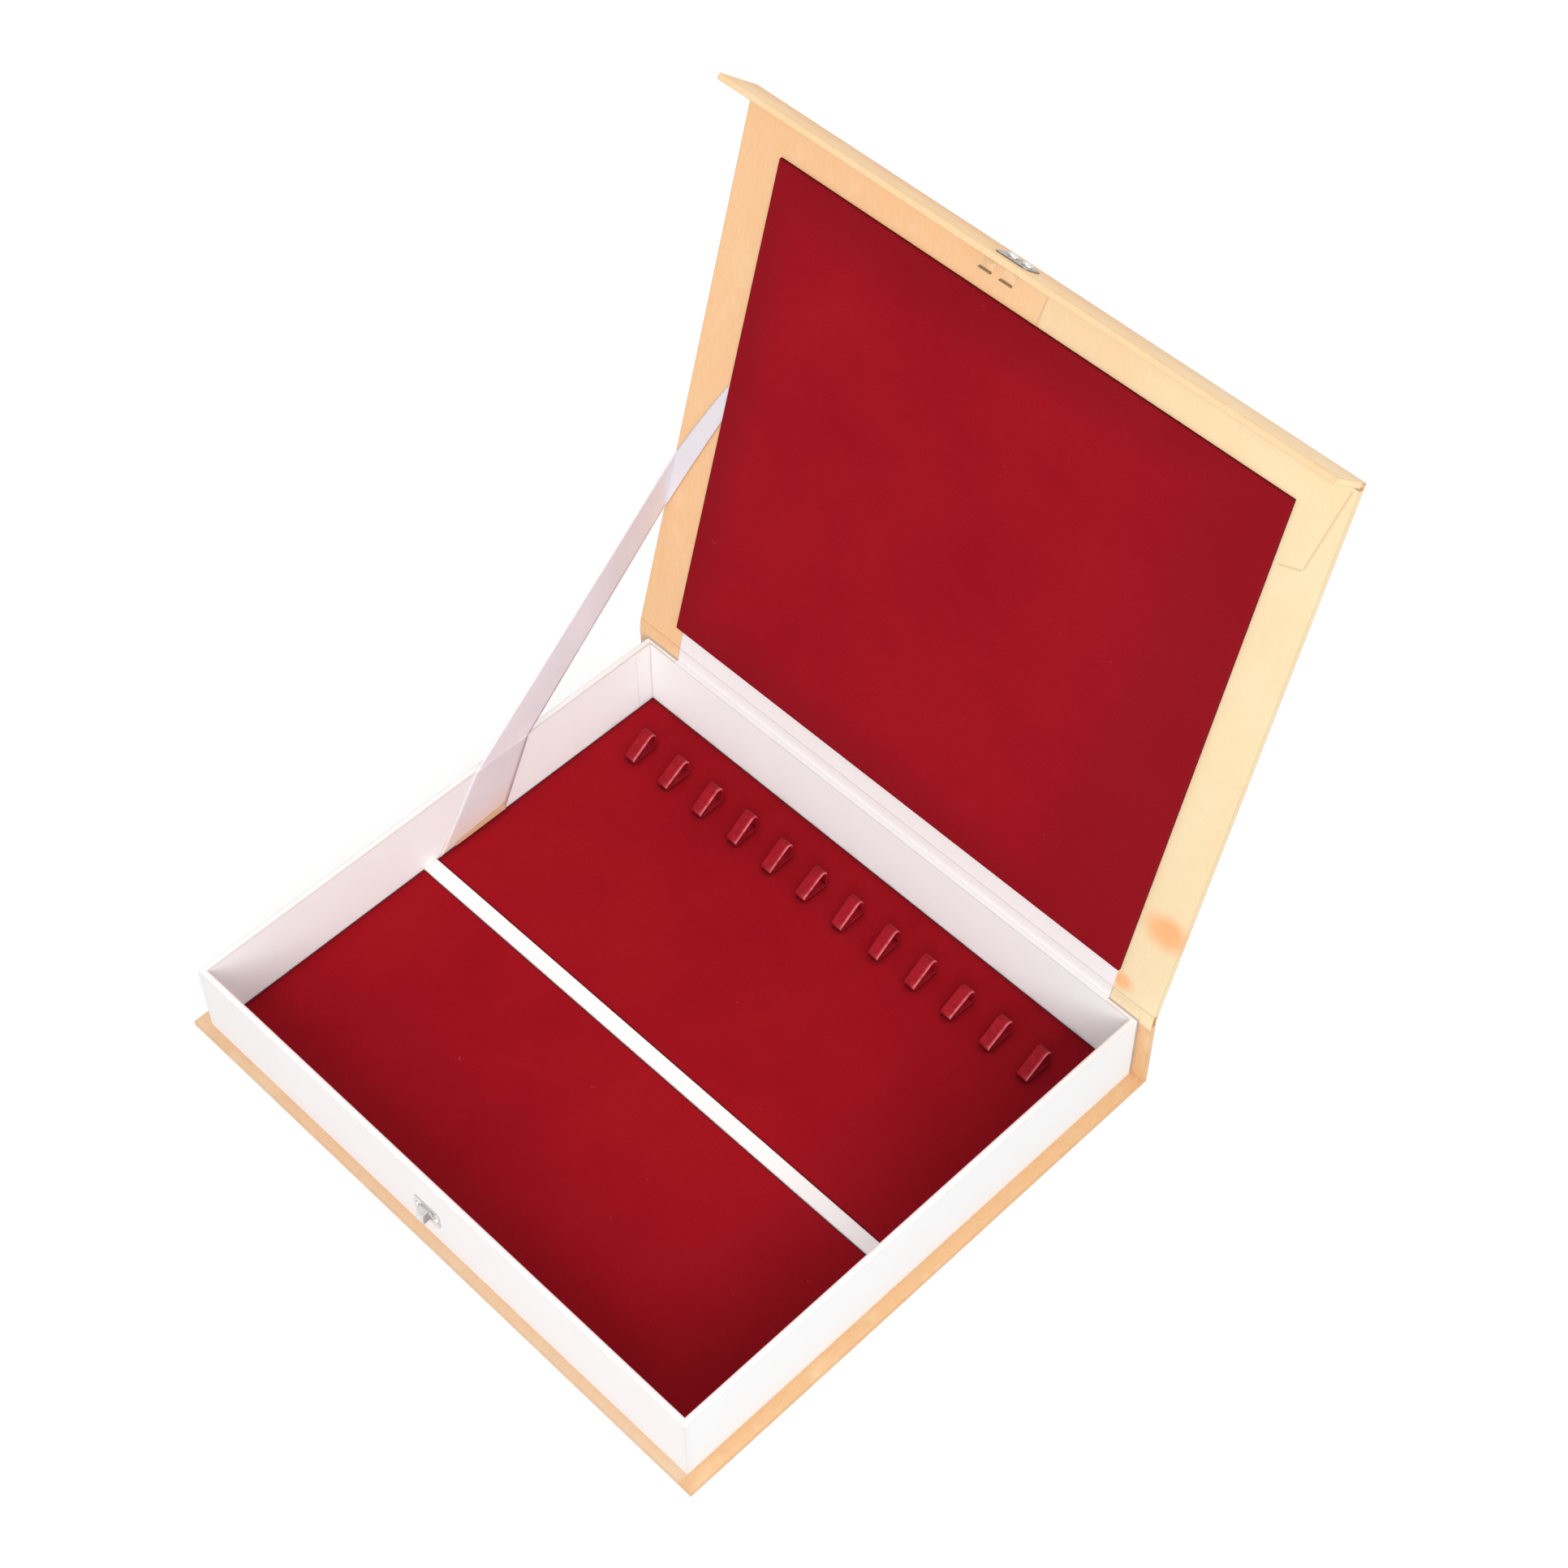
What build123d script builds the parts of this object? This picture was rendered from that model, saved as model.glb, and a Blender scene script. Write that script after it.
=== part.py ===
from build123d import *
import os
from math import asin, atan2, cos, hypot, radians, sin

os.makedirs("parts", exist_ok=True)

# The box stands open. X runs along the hinge, Y from the opening side to the hinge, Z is up.
# The origin is the centre of the underside of the base board.

# Case boards and the papers that wrap them
case_width = 300.0
base_depth = 261.0
board = 2.2
wrap_paper = 0.2
case_thickness = board + 2 * wrap_paper
turn_in = 18.0

# Tray that is glued on the base board
side_lip = 6.4
front_lip = 4.4
rim_height = 42.0
wall_board = 2.6
wall_paper = 0.2
wall = wall_board + 2 * wall_paper
bottom_card = 1.0

# Two velvet floor pads and the white divider strip between them
pad_card = 0.6
velvet_pile = 1.0
pad_side_gap = 0.3
divider_width = 7.2
divider_proud = 0.5
divider_centre_y = -8.1

# Chain loops: closed straps of leatherette in one row on the rear pad
loop_count = 12
loop_row_left_gap = 19.6
loop_row_right_gap = 25.1
loop_width = 5.8
loop_strap = 0.8
loop_rear_gap = 18.9
loop_length = 14.5
loop_height = 10.2
loop_front_radius = 1.7
loop_rear_radius = 2.6

# Lid, its hinge on the outer crease, and the flap on its free edge
open_angle = 106.0
lid_rest_gap = 0.6
flap_stand_off = 7.0
joint_half_gap = 2.8
flap_length = 26.5
flap_rest_angle = 64.8

# Velvet panel inside the lid
panel_side_border = 21.6
panel_hinge_border = 12.8
panel_crease_border = 20.0
panel_card = 0.8
panel_corner_radius = 0.4
panel_lap = 4.0

# Paper over the inside of the hinge: white in the middle, gold at both ends
strip_paper = 0.2
strip_left_inset = 25.0
strip_right_inset = 22.0
strip_seam = 0.1
strip_foot = 2.4

# Ribbon stay at the left side
ribbon_thickness = 0.4
ribbon_clearance = 0.35
ribbon_panel_gap = 0.5
ribbon_lid_near = 123.0
ribbon_lid_far = 142.0
ribbon_edge_inset = 0.5
ribbon_edge_near = 65.0
ribbon_edge_far = 94.5
ribbon_rim_front_y = 21.5
ribbon_rim_rear_y = 52.5
ribbon_foot_front_y = -3.0
ribbon_foot_rear_y = 35.0
ribbon_foot_gap = 0.5
anchor_patch_length = 29.0
anchor_patch_front_height = 2.0
anchor_patch_rear_height = 4.5
anchor_patch_paper = 0.25

# Sheet metal latch: strike on the front wall, plate, prongs and two rivets on the flap
latch_x = -3.5
metal = 0.6
strike_width = 15.0
strike_height = 10.0
strike_top_below_rim = 17.4
strike_slot = 1.3
bridge_width = 4.0
bridge_height = 6.5
bridge_proud = 3.8
pin_radius = 0.7
pin_head_radius = 1.4
pin_head_height = 0.6
pin_spacing = 11.4
plate_width = 16.0
plate_start = 9.5
plate_end = 21.5
rivet_radius = 1.0
rivet_head_radius = 2.3
rivet_head_height = 1.0
rivet_spacing = 7.0
rivet_reach = 14.0
rivet_clearance = 0.05
prong_width = 5.8
prong_clearance = 0.2
prong_reach = 5.0
prong_lip = 1.4

# Places worked out from the sizes
base_top = case_thickness
rear_face = base_depth / 2
tray_rear = rear_face - case_thickness
tray_front = -rear_face + front_lip
tray_width = case_width - 2 * side_lip
inner_half_width = tray_width / 2 - wall
inner_rear = tray_rear - wall
inner_front = tray_front + wall
bottom_top = base_top + bottom_card
pad_top = bottom_top + pad_card + velvet_pile
loop_front_y = inner_rear - loop_rear_gap - loop_length
loop_row_length = 2 * inner_half_width - loop_row_left_gap - loop_row_right_gap
divider_front = divider_centre_y - divider_width / 2
divider_rear = divider_centre_y + divider_width / 2
hinge_z = rim_height + lid_rest_gap + case_thickness
lid_inner_z = hinge_z - case_thickness
crease_y = -rear_face - flap_stand_off
strip_left_x = -case_width / 2 + strip_left_inset
strip_right_x = case_width / 2 - strip_right_inset
panel_width = case_width - 2 * panel_side_border
flap_inner_y = crease_y + case_thickness
hinge_axis = Axis((0, rear_face, hinge_z), (1, 0, 0))
crease_axis = Axis((0, crease_y, hinge_z), (1, 0, 0))


def block(x0, x1, y0, y1, z0, z1):
    """Box between two corners."""
    solid = Box(x1 - x0, y1 - y0, z1 - z0)
    return Pos((x0 + x1) / 2, (y0 + y1) / 2, (z0 + z1) / 2) * solid


def save(shape, name):
    """Write one sub-part under its node's name."""
    shape.label = name
    export_step(shape, "parts/" + name + ".step")


def open_lid(shape):
    """Turn a piece made on the closed lid to where the lid stands open."""
    return shape.rotate(hinge_axis, -open_angle)


def place_flap(shape):
    """Turn a piece made on the closed flap to its resting angle, then open the lid with it."""
    return open_lid(shape.rotate(crease_axis, -(90.0 - flap_rest_angle)))


def lid_point(x, reach, proud=0.0):
    """Point on the open lid's inner face, measured from the hinge along the lid."""
    down = case_thickness + proud
    angle = radians(open_angle)
    y = rear_face - reach * cos(angle) - down * sin(angle)
    z = hinge_z + reach * sin(angle) - down * cos(angle)
    return (x, y, z)


def wrapped(outer, core, window):
    """Paper skin round a board, open where the window box is."""
    return outer - core - window


def base_board():
    half_x = case_width / 2 - wrap_paper
    half_y = base_depth / 2 - wrap_paper
    return block(-half_x, half_x, -half_y, half_y, wrap_paper, wrap_paper + board)


def base_cover_paper():
    half_x = case_width / 2
    half_y = base_depth / 2
    outer = block(-half_x, half_x, -half_y, half_y, 0, case_thickness)
    window_x = half_x - turn_in
    window_y = half_y - turn_in
    window = block(-window_x, window_x, -window_y, window_y, wrap_paper + board, case_thickness)
    return wrapped(outer, base_board(), window)


def spine_top():
    return hinge_z - joint_half_gap


def spine_board():
    half_x = case_width / 2 - wrap_paper
    front = tray_rear + wrap_paper
    return block(-half_x, half_x, front, rear_face - wrap_paper, base_top, spine_top() - wrap_paper)


def spine_cover_paper():
    half_x = case_width / 2
    outer = block(-half_x, half_x, tray_rear, rear_face, base_top, spine_top())
    window_x = half_x - turn_in
    window_top = spine_top() - turn_in / 2
    window = block(-window_x, window_x, tray_rear, tray_rear + wrap_paper, base_top, window_top)
    return wrapped(outer, spine_board(), window)


def tray_side_board(side):
    outer_x = tray_width / 2 - wall_paper
    inner_x = outer_x - wall_board
    left, right = sorted((side * outer_x, side * inner_x))
    front = tray_front + wall_paper
    rear = tray_rear - wall_paper
    return block(left, right, front, rear, bottom_top, rim_height - wall_paper)


def tray_front_board():
    half_x = tray_width / 2 - wall_paper - wall_board
    front = tray_front + wall_paper
    return block(-half_x, half_x, front, front + wall_board, bottom_top, rim_height - wall_paper)


def tray_rear_board():
    half_x = tray_width / 2 - wall_paper - wall_board
    rear = tray_rear - wall_paper
    return block(-half_x, half_x, rear - wall_board, rear, bottom_top, rim_height - wall_paper)


def tray_bottom_card():
    half_x = tray_width / 2 - wall_paper
    return block(-half_x, half_x, tray_front + wall_paper, tray_rear - wall_paper, base_top, bottom_top)


def tray_cover_paper():
    """White paper over the outside, the rim and the inside of the four walls."""
    half_x = tray_width / 2
    outer = block(-half_x, half_x, tray_front, tray_rear, base_top, rim_height)
    hollow = block(-inner_half_width, inner_half_width, inner_front, inner_rear, bottom_top, rim_height)
    board_x = half_x - wall_paper
    board_front = tray_front + wall_paper
    board_rear = tray_rear - wall_paper
    core = block(-board_x, board_x, board_front, board_rear, base_top, rim_height - wall_paper)
    inside_x = inner_half_width + wall_paper
    inside_front = inner_front - wall_paper
    inside_rear = inner_rear + wall_paper
    inside = block(-inside_x, inside_x, inside_front, inside_rear, bottom_top, rim_height)
    skin = outer - core
    lining = inside - hollow
    return skin + lining - hollow


def pad_limits(which):
    if which == "front":
        return inner_front + pad_side_gap, divider_front - pad_side_gap
    return divider_rear + pad_side_gap, inner_rear - pad_side_gap


def pad_card_solid(which):
    front, rear = pad_limits(which)
    half_x = inner_half_width - pad_side_gap
    return block(-half_x, half_x, front, rear, bottom_top, bottom_top + pad_card)


def pad_velvet(which):
    front, rear = pad_limits(which)
    half_x = inner_half_width - pad_side_gap
    slab = block(-half_x, half_x, front, rear, bottom_top + pad_card, pad_top)
    return fillet(slab.edges().group_by(Axis.Z)[-1], velvet_pile / 2)


def divider_limits():
    return inner_half_width, bottom_top, pad_top + divider_proud


def divider_board():
    half_x, low, high = divider_limits()
    front = divider_front + wall_paper
    rear = divider_rear - wall_paper
    return block(-half_x, half_x, front, rear, low, high - wall_paper)


def divider_cover_paper():
    """White paper folded over the divider's top and both long sides."""
    half_x, low, high = divider_limits()
    bar = block(-half_x, half_x, divider_front, divider_rear, low, high)
    long_edges = bar.edges().group_by(Axis.Z)[-1].filter_by(Axis.X)
    return fillet(long_edges, wall_paper / 2) - divider_board()


def loop_face(inset):
    """Side outline of a loop in Y and Z, inset all round: flat foot, upright back, sloping top."""
    low = pad_top + inset
    rear = loop_front_y + loop_length - inset
    nose = loop_front_radius - inset
    back = loop_rear_radius - inset
    nose_y = loop_front_y + inset + nose
    nose_z = low + nose
    back_y = rear - back
    back_z = pad_top + loop_height - inset - back
    back_to_nose = (back_y - nose_y, back_z - nose_z)
    slope = atan2(back_to_nose[1], back_to_nose[0]) + asin((back - nose) / hypot(*back_to_nose))
    front_bend = slope / 2
    rear_bend = radians(45) + slope / 2
    top_front = (0, nose_y - nose * sin(slope), nose_z + nose * cos(slope))
    top_rear = (0, back_y - back * sin(slope), back_z + back * cos(slope))
    rear_middle = (0, back_y + back * cos(rear_bend), back_z + back * sin(rear_bend))
    front_middle = (0, nose_y - nose * cos(front_bend), nose_z - nose * sin(front_bend))
    edges = [
        Line(top_front, top_rear),
        ThreePointArc(top_rear, rear_middle, (0, rear, back_z)),
        Line((0, rear, back_z), (0, rear, low)),
        Line((0, rear, low), (0, nose_y, low)),
        ThreePointArc((0, nose_y, low), front_middle, top_front),
    ]
    return Face(Wire(edges))


def chain_loop(number):
    """Closed strap number 1 to 12, counted from the left."""
    first = loop_row_left_gap - inner_half_width
    centre = first + loop_row_length * (number - 1) / (loop_count - 1)
    outer = extrude(loop_face(0), amount=loop_width / 2, both=True, dir=(1, 0, 0))
    inner = extrude(loop_face(loop_strap), amount=loop_width, both=True, dir=(1, 0, 0))
    return Pos(centre, 0, 0) * (outer - inner)


def lid_rear_edge():
    return rear_face - joint_half_gap


def lid_front_edge():
    return crease_y + joint_half_gap


def lid_board():
    half_x = case_width / 2 - wrap_paper
    low = lid_inner_z + wrap_paper
    front = lid_front_edge() + wrap_paper
    rear = lid_rear_edge() - wrap_paper
    solid = block(-half_x, half_x, front, rear, low, low + board)
    return open_lid(solid)


def panel_y_limits():
    return crease_y + panel_crease_border, rear_face - panel_hinge_border


def lid_cover_paper():
    half_x = case_width / 2
    front, rear = lid_front_edge(), lid_rear_edge()
    outer = block(-half_x, half_x, front, rear, lid_inner_z, hinge_z)
    inner_x = half_x - wrap_paper
    core_front = front + wrap_paper
    core_rear = rear - wrap_paper
    core = block(-inner_x, inner_x, core_front, core_rear, lid_inner_z + wrap_paper, hinge_z - wrap_paper)
    panel_front, panel_rear = panel_y_limits()
    window_x = panel_width / 2 - panel_lap
    window_front = panel_front + panel_lap
    window_rear = panel_rear - panel_lap
    window = block(-window_x, window_x, window_front, window_rear, lid_inner_z, lid_inner_z + wrap_paper)
    return open_lid(wrapped(outer, core, window))


def lid_panel_card():
    front, rear = panel_y_limits()
    half_x = panel_width / 2 - velvet_pile / 2
    edge = velvet_pile / 2
    solid = block(-half_x, half_x, front + edge, rear - edge, lid_inner_z - panel_card, lid_inner_z)
    return open_lid(solid)


def lid_velvet():
    front, rear = panel_y_limits()
    half_x = panel_width / 2
    low = lid_inner_z - panel_card - velvet_pile
    outer = block(-half_x, half_x, front, rear, low, lid_inner_z)
    outer = fillet(outer.edges().filter_by(Axis.Z), panel_corner_radius)
    outer = fillet(outer.edges().group_by(Axis.Z)[0], velvet_pile / 2)
    edge = velvet_pile / 2
    core_x = half_x - edge
    core = block(-core_x, core_x, front + edge, rear - edge, lid_inner_z - panel_card, lid_inner_z)
    return open_lid(outer - core)


def lid_border_strip():
    """White paper glued on the lid's border below the panel."""
    front = rear_face - panel_hinge_border
    low = lid_inner_z - strip_paper
    solid = block(strip_left_x, strip_right_x, front, lid_rear_edge(), low, lid_inner_z)
    return open_lid(solid)


def band(points, thickness, x0, x1):
    """Thin sheet along points in Y and Z, thickened to the left of the way it runs."""
    outline = points + offset_line(points, thickness)[::-1]
    face = Face(Wire.make_polygon([(0, y, z) for y, z in outline], close=True))
    return Pos(x0, 0, 0) * extrude(face, amount=x1 - x0, dir=(1, 0, 0))


def offset_line(points, thickness):
    """Points of a three-point line moved square to its two runs, with a mitre at the bend."""
    (y0, z0), (y1, z1), (y2, z2) = points
    first = Vector(y1 - y0, z1 - z0).normalized()
    second = Vector(y2 - y1, z2 - z1).normalized()
    n0 = Vector(-first.Y, first.X)
    n1 = Vector(-second.Y, second.X)
    mitre = (n0 + n1).normalized()
    reach = thickness / mitre.dot(n0)
    return [
        (y0 + n0.X * thickness, z0 + n0.Y * thickness),
        (y1 + mitre.X * reach, z1 + mitre.Y * reach),
        (y2 + n1.X * thickness, z2 + n1.Y * thickness),
    ]


def hinge_cover_paper():
    """Gold paper over the outer crease, from the spine up to the lid."""
    spine_edge = (rear_face, spine_top())
    crease = (rear_face, hinge_z)
    angle = radians(open_angle)
    lid_edge = (rear_face - joint_half_gap * cos(angle), hinge_z + joint_half_gap * sin(angle))
    return band([spine_edge, crease, lid_edge], wrap_paper, -case_width / 2, case_width / 2)


def rim_band(x0, x1):
    """Paper from the rear wall's rim up to the lid's border."""
    rim_front = (inner_rear, rim_height)
    rim_rear = (tray_rear - strip_paper, rim_height)
    lid_foot = lid_point(0, joint_half_gap)
    return band([rim_front, rim_rear, lid_foot[1:]], strip_paper, x0, x1)


def spine_band(x0, x1):
    """Paper from the spine's inner face up to the lid's border, beside the tray."""
    foot = (tray_rear, spine_top() - strip_foot)
    bend = (tray_rear, spine_top())
    lid_foot = lid_point(0, joint_half_gap)
    return band([foot, bend, lid_foot[1:]], strip_paper, x0, x1)


def hinge_lining_strip():
    return rim_band(strip_left_x, strip_right_x)


def hinge_lining_end(side):
    """Gold paper over the inside of the hinge at one end: on the rim first, then beside the tray."""
    tray_x = tray_width / 2
    case_x = case_width / 2
    if side < 0:
        return rim_band(-tray_x, strip_left_x - strip_seam) + spine_band(-case_x, -tray_x)
    return rim_band(strip_right_x + strip_seam, tray_x) + spine_band(tray_x, case_x)


def crease_cover_paper():
    """Gold paper over the outer crease between the lid and the flap."""
    lid_edge = (lid_front_edge(), hinge_z)
    crease = (crease_y, hinge_z)
    tilt = radians(flap_rest_angle)
    flap_edge = (crease_y - joint_half_gap * cos(tilt), hinge_z - joint_half_gap * sin(tilt))
    return open_lid(band([flap_edge, crease, lid_edge], -wrap_paper, -case_width / 2, case_width / 2))


def flap_solid(x0, x1, y0, y1, start, end):
    """Block on the closed flap, with start and end measured down from the crease."""
    return block(x0, x1, y0, y1, hinge_z - end, hinge_z - start)


def rivet_places():
    return [latch_x - rivet_spacing / 2, latch_x + rivet_spacing / 2]


def rivet_holes():
    length = 4 * case_thickness
    radius = rivet_radius + rivet_clearance
    holes = [rod_along_y(x, crease_y, hinge_z - rivet_reach, radius, length) for x in rivet_places()]
    return Compound(children=holes)


def rod_along_y(x, y, z, radius, length):
    return Pos(x, y, z) * Rot(90, 0, 0) * Cylinder(radius, length)


def flap_board():
    half_x = case_width / 2 - wrap_paper
    front = crease_y + wrap_paper
    start = joint_half_gap
    end = flap_length - wrap_paper
    solid = flap_solid(-half_x, half_x, front, front + board, start, end)
    return place_flap(solid - rivet_holes())


def flap_cover_paper():
    half_x = case_width / 2
    outer = flap_solid(-half_x, half_x, crease_y, flap_inner_y, joint_half_gap, flap_length)
    inner_x = half_x - wrap_paper
    front = crease_y + wrap_paper
    core = flap_solid(-inner_x, inner_x, front, front + board, joint_half_gap, flap_length - wrap_paper)
    return place_flap(outer - core - rivet_holes())


def latch_plate():
    half = plate_width / 2
    solid = flap_solid(latch_x - half, latch_x + half, crease_y - metal, crease_y, plate_start, plate_end)
    corners = solid.edges().filter_by(Axis.Y)
    solid = fillet(corners, plate_width / 6)
    return place_flap(solid - rivet_holes())


def latch_prongs():
    """Plate on the flap's inner face with two prongs that go either side of the strike's bridge."""
    inner = bridge_width / 2 + prong_clearance
    outer = inner + prong_width
    face_y = flap_inner_y
    tip_y = face_y + prong_reach
    start = rivet_reach - 3 * rivet_radius
    end = flap_length - 2 * metal
    shape = flap_solid(latch_x - outer, latch_x + outer, face_y, face_y + metal, start, end)
    for left in (latch_x - outer, latch_x + inner):
        right = left + prong_width
        shape += flap_solid(left, right, face_y, tip_y, end - metal, end)
        shape += flap_solid(left, right, tip_y - metal, tip_y, end - metal, end - metal + prong_lip)
    return place_flap(shape - rivet_holes())


def latch_rivets():
    """Two rivets through the plate, the flap and the prong plate."""
    outer_y = crease_y - metal
    inner_y = flap_inner_y + metal
    z = hinge_z - rivet_reach
    rivets = []
    for x in rivet_places():
        shank = rod_along_y(x, (outer_y + inner_y) / 2, z, rivet_radius, inner_y - outer_y)
        dome = rivet_dome(x, outer_y, z, -1)
        tail = rivet_dome(x, inner_y, z, 1)
        rivets.append(place_flap(shank + dome + tail))
    return Compound(children=rivets)


def rivet_dome(x, y, z, way):
    """Low domed head on the plane y, pointing along way in Y."""
    head = Cylinder(rivet_head_radius, rivet_head_height)
    rim = head.edges().group_by(Axis.Z)[-1]
    head = fillet(rim, rivet_head_height * 0.9)
    turn = Rot(90, 0, 0) if way < 0 else Rot(-90, 0, 0)
    return Pos(x, y + way * rivet_head_height / 2, z) * turn * head


def strike_limits():
    top = rim_height - strike_top_below_rim
    return top - strike_height, top


def strike_pin_places():
    return [latch_x - pin_spacing / 2, latch_x + pin_spacing / 2]


def strike_plate():
    """Plate on the front wall with a raised bridge between two slots."""
    low, high = strike_limits()
    half = strike_width / 2
    centre = (low + high) / 2
    face_y = tray_front - metal
    plate = block(latch_x - half, latch_x + half, face_y, tray_front, low, high)
    plate = fillet(plate.edges().filter_by(Axis.Y), strike_width / 8)
    slots_x = bridge_width / 2 + strike_slot
    slot_low = centre - bridge_height / 2
    slot_high = centre + bridge_height / 2
    plate -= block(latch_x - slots_x, latch_x + slots_x, face_y, tray_front, slot_low, slot_high)
    bridge_x = bridge_width / 2
    front = face_y - bridge_proud
    bridge = block(latch_x - bridge_x, latch_x + bridge_x, front, tray_front, slot_low, slot_high)
    bridge = fillet(bridge.edges().filter_by(Axis.X).group_by(Axis.Y)[0], metal)
    hollow_low = slot_low + metal
    hollow_high = slot_high - metal
    back = front + metal
    bridge -= block(latch_x - bridge_x, latch_x + bridge_x, back, tray_front, hollow_low, hollow_high)
    plate += bridge
    for x in strike_pin_places():
        plate -= rod_along_y(x, tray_front, centre, pin_radius + rivet_clearance, 4 * metal)
    return plate


def strike_pins():
    """Two headed pins that hold the strike on the front wall's board."""
    low, high = strike_limits()
    centre = (low + high) / 2
    length = metal + wall_paper + wall_board / 2
    pins = []
    for x in strike_pin_places():
        shank = rod_along_y(x, tray_front - metal + length / 2, centre, pin_radius, length)
        head = Cylinder(pin_head_radius, pin_head_height)
        head = fillet(head.edges().group_by(Axis.Z)[-1], pin_head_height * 0.8)
        head = Pos(x, tray_front - metal - pin_head_height / 2, centre) * Rot(90, 0, 0) * head
        pins.append(shank + head)
    return Compound(children=pins)


def pin_bores():
    low, high = strike_limits()
    centre = (low + high) / 2
    length = 2 * (wall_paper + wall_board / 2)
    radius = pin_radius + rivet_clearance
    bores = [rod_along_y(x, tray_front, centre, radius, length) for x in strike_pin_places()]
    return Compound(children=bores)


def ribbon_section(rear_edge, front_edge, normal):
    """Thin four-sided wire between two edge points of the ribbon."""
    lift = normal * ribbon_thickness
    a = Vector(*rear_edge)
    b = Vector(*front_edge)
    return Wire.make_polygon([a, b, b + lift, a + lift], close=True)


def ribbon_stay():
    """Ribbon from the lid's border, over the lid's side, down to the foot of the left wall."""
    gap = ribbon_clearance
    angle = radians(open_angle)
    off_lid = Vector(0, -sin(angle), -cos(angle))
    off_wall = Vector(1, 0, 0)
    turning = (off_lid + off_wall).normalized()
    panel_x = -panel_width / 2 - ribbon_panel_gap
    edge_x = -case_width / 2 + ribbon_edge_inset
    wall_x = -inner_half_width + gap
    foot_z = pad_top + ribbon_foot_gap
    panel = [lid_point(panel_x, ribbon_lid_far, gap), lid_point(panel_x, ribbon_lid_near, gap)]
    edge = [lid_point(edge_x, ribbon_edge_far, gap), lid_point(edge_x, ribbon_edge_near, gap)]
    rim = [(wall_x, ribbon_rim_front_y, rim_height), (wall_x, ribbon_rim_rear_y, rim_height)]
    foot = [(wall_x, ribbon_foot_front_y, foot_z), (wall_x, ribbon_foot_rear_y, foot_z)]
    middle = [(Vector(*high) + Vector(*low)) / 2 for high, low in zip(edge, rim)]
    sections = [
        ribbon_section(*panel, off_lid),
        ribbon_section(*edge, turning),
        ribbon_section(*middle, off_wall),
        ribbon_section(*rim, off_wall),
        ribbon_section(*foot, off_wall),
    ]
    strip = Solid.make_loft(sections[:2], ruled=True)
    for first, second in zip(sections[1:], sections[2:]):
        strip += Solid.make_loft([first, second], ruled=True)
    return strip


def ribbon_anchor_patch():
    """Gold paper patch over the ribbon's lower end, at the floor line, lower towards the front."""
    x0 = -inner_half_width + ribbon_clearance + ribbon_thickness
    low = pad_top + ribbon_foot_gap
    rear = ribbon_foot_rear_y
    front = rear - anchor_patch_length
    outline = [
        (x0, front, low),
        (x0, rear, low),
        (x0, rear, low + anchor_patch_rear_height),
        (x0, front, low + anchor_patch_front_height),
    ]
    face = Face(Wire.make_polygon(outline, close=True))
    return extrude(face, amount=anchor_patch_paper, dir=(1, 0, 0))


def build_all():
    save(base_board(), "base_board")
    save(base_cover_paper(), "base_cover_paper")
    save(spine_board(), "spine_board")
    save(spine_cover_paper(), "spine_cover_paper")
    save(tray_bottom_card(), "tray_bottom_card")
    save(tray_front_board() - pin_bores(), "tray_front_board")
    save(tray_rear_board(), "tray_rear_board")
    save(tray_side_board(-1), "tray_left_board")
    save(tray_side_board(1), "tray_right_board")
    save(tray_cover_paper() - pin_bores(), "tray_cover_paper")
    for which in ("front", "rear"):
        save(pad_card_solid(which), which + "_pad_card")
        save(pad_velvet(which), which + "_pad_velvet")
    save(divider_board(), "divider_board")
    save(divider_cover_paper(), "divider_cover_paper")
    for number in range(1, loop_count + 1):
        save(chain_loop(number), "chain_loop_%02d" % number)
    save(strike_plate(), "strike_plate")
    save(strike_pins(), "strike_pins")
    save(ribbon_stay(), "ribbon_stay")
    save(ribbon_anchor_patch(), "ribbon_anchor_patch")
    save(hinge_cover_paper(), "hinge_cover_paper")
    save(hinge_lining_strip(), "hinge_lining_strip")
    save(hinge_lining_end(-1), "hinge_lining_left_end")
    save(hinge_lining_end(1), "hinge_lining_right_end")
    save(lid_board(), "lid_board")
    save(lid_cover_paper(), "lid_cover_paper")
    save(lid_panel_card(), "lid_panel_card")
    save(lid_velvet(), "lid_velvet")
    save(lid_border_strip(), "lid_border_strip")
    save(crease_cover_paper(), "crease_cover_paper")
    save(flap_board(), "flap_board")
    save(flap_cover_paper(), "flap_cover_paper")
    save(latch_plate(), "latch_plate")
    save(latch_prongs(), "latch_prongs")
    save(latch_rivets(), "latch_rivets")


build_all()
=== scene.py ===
import bpy
import math
import random
from mathutils import Matrix, Vector


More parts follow.
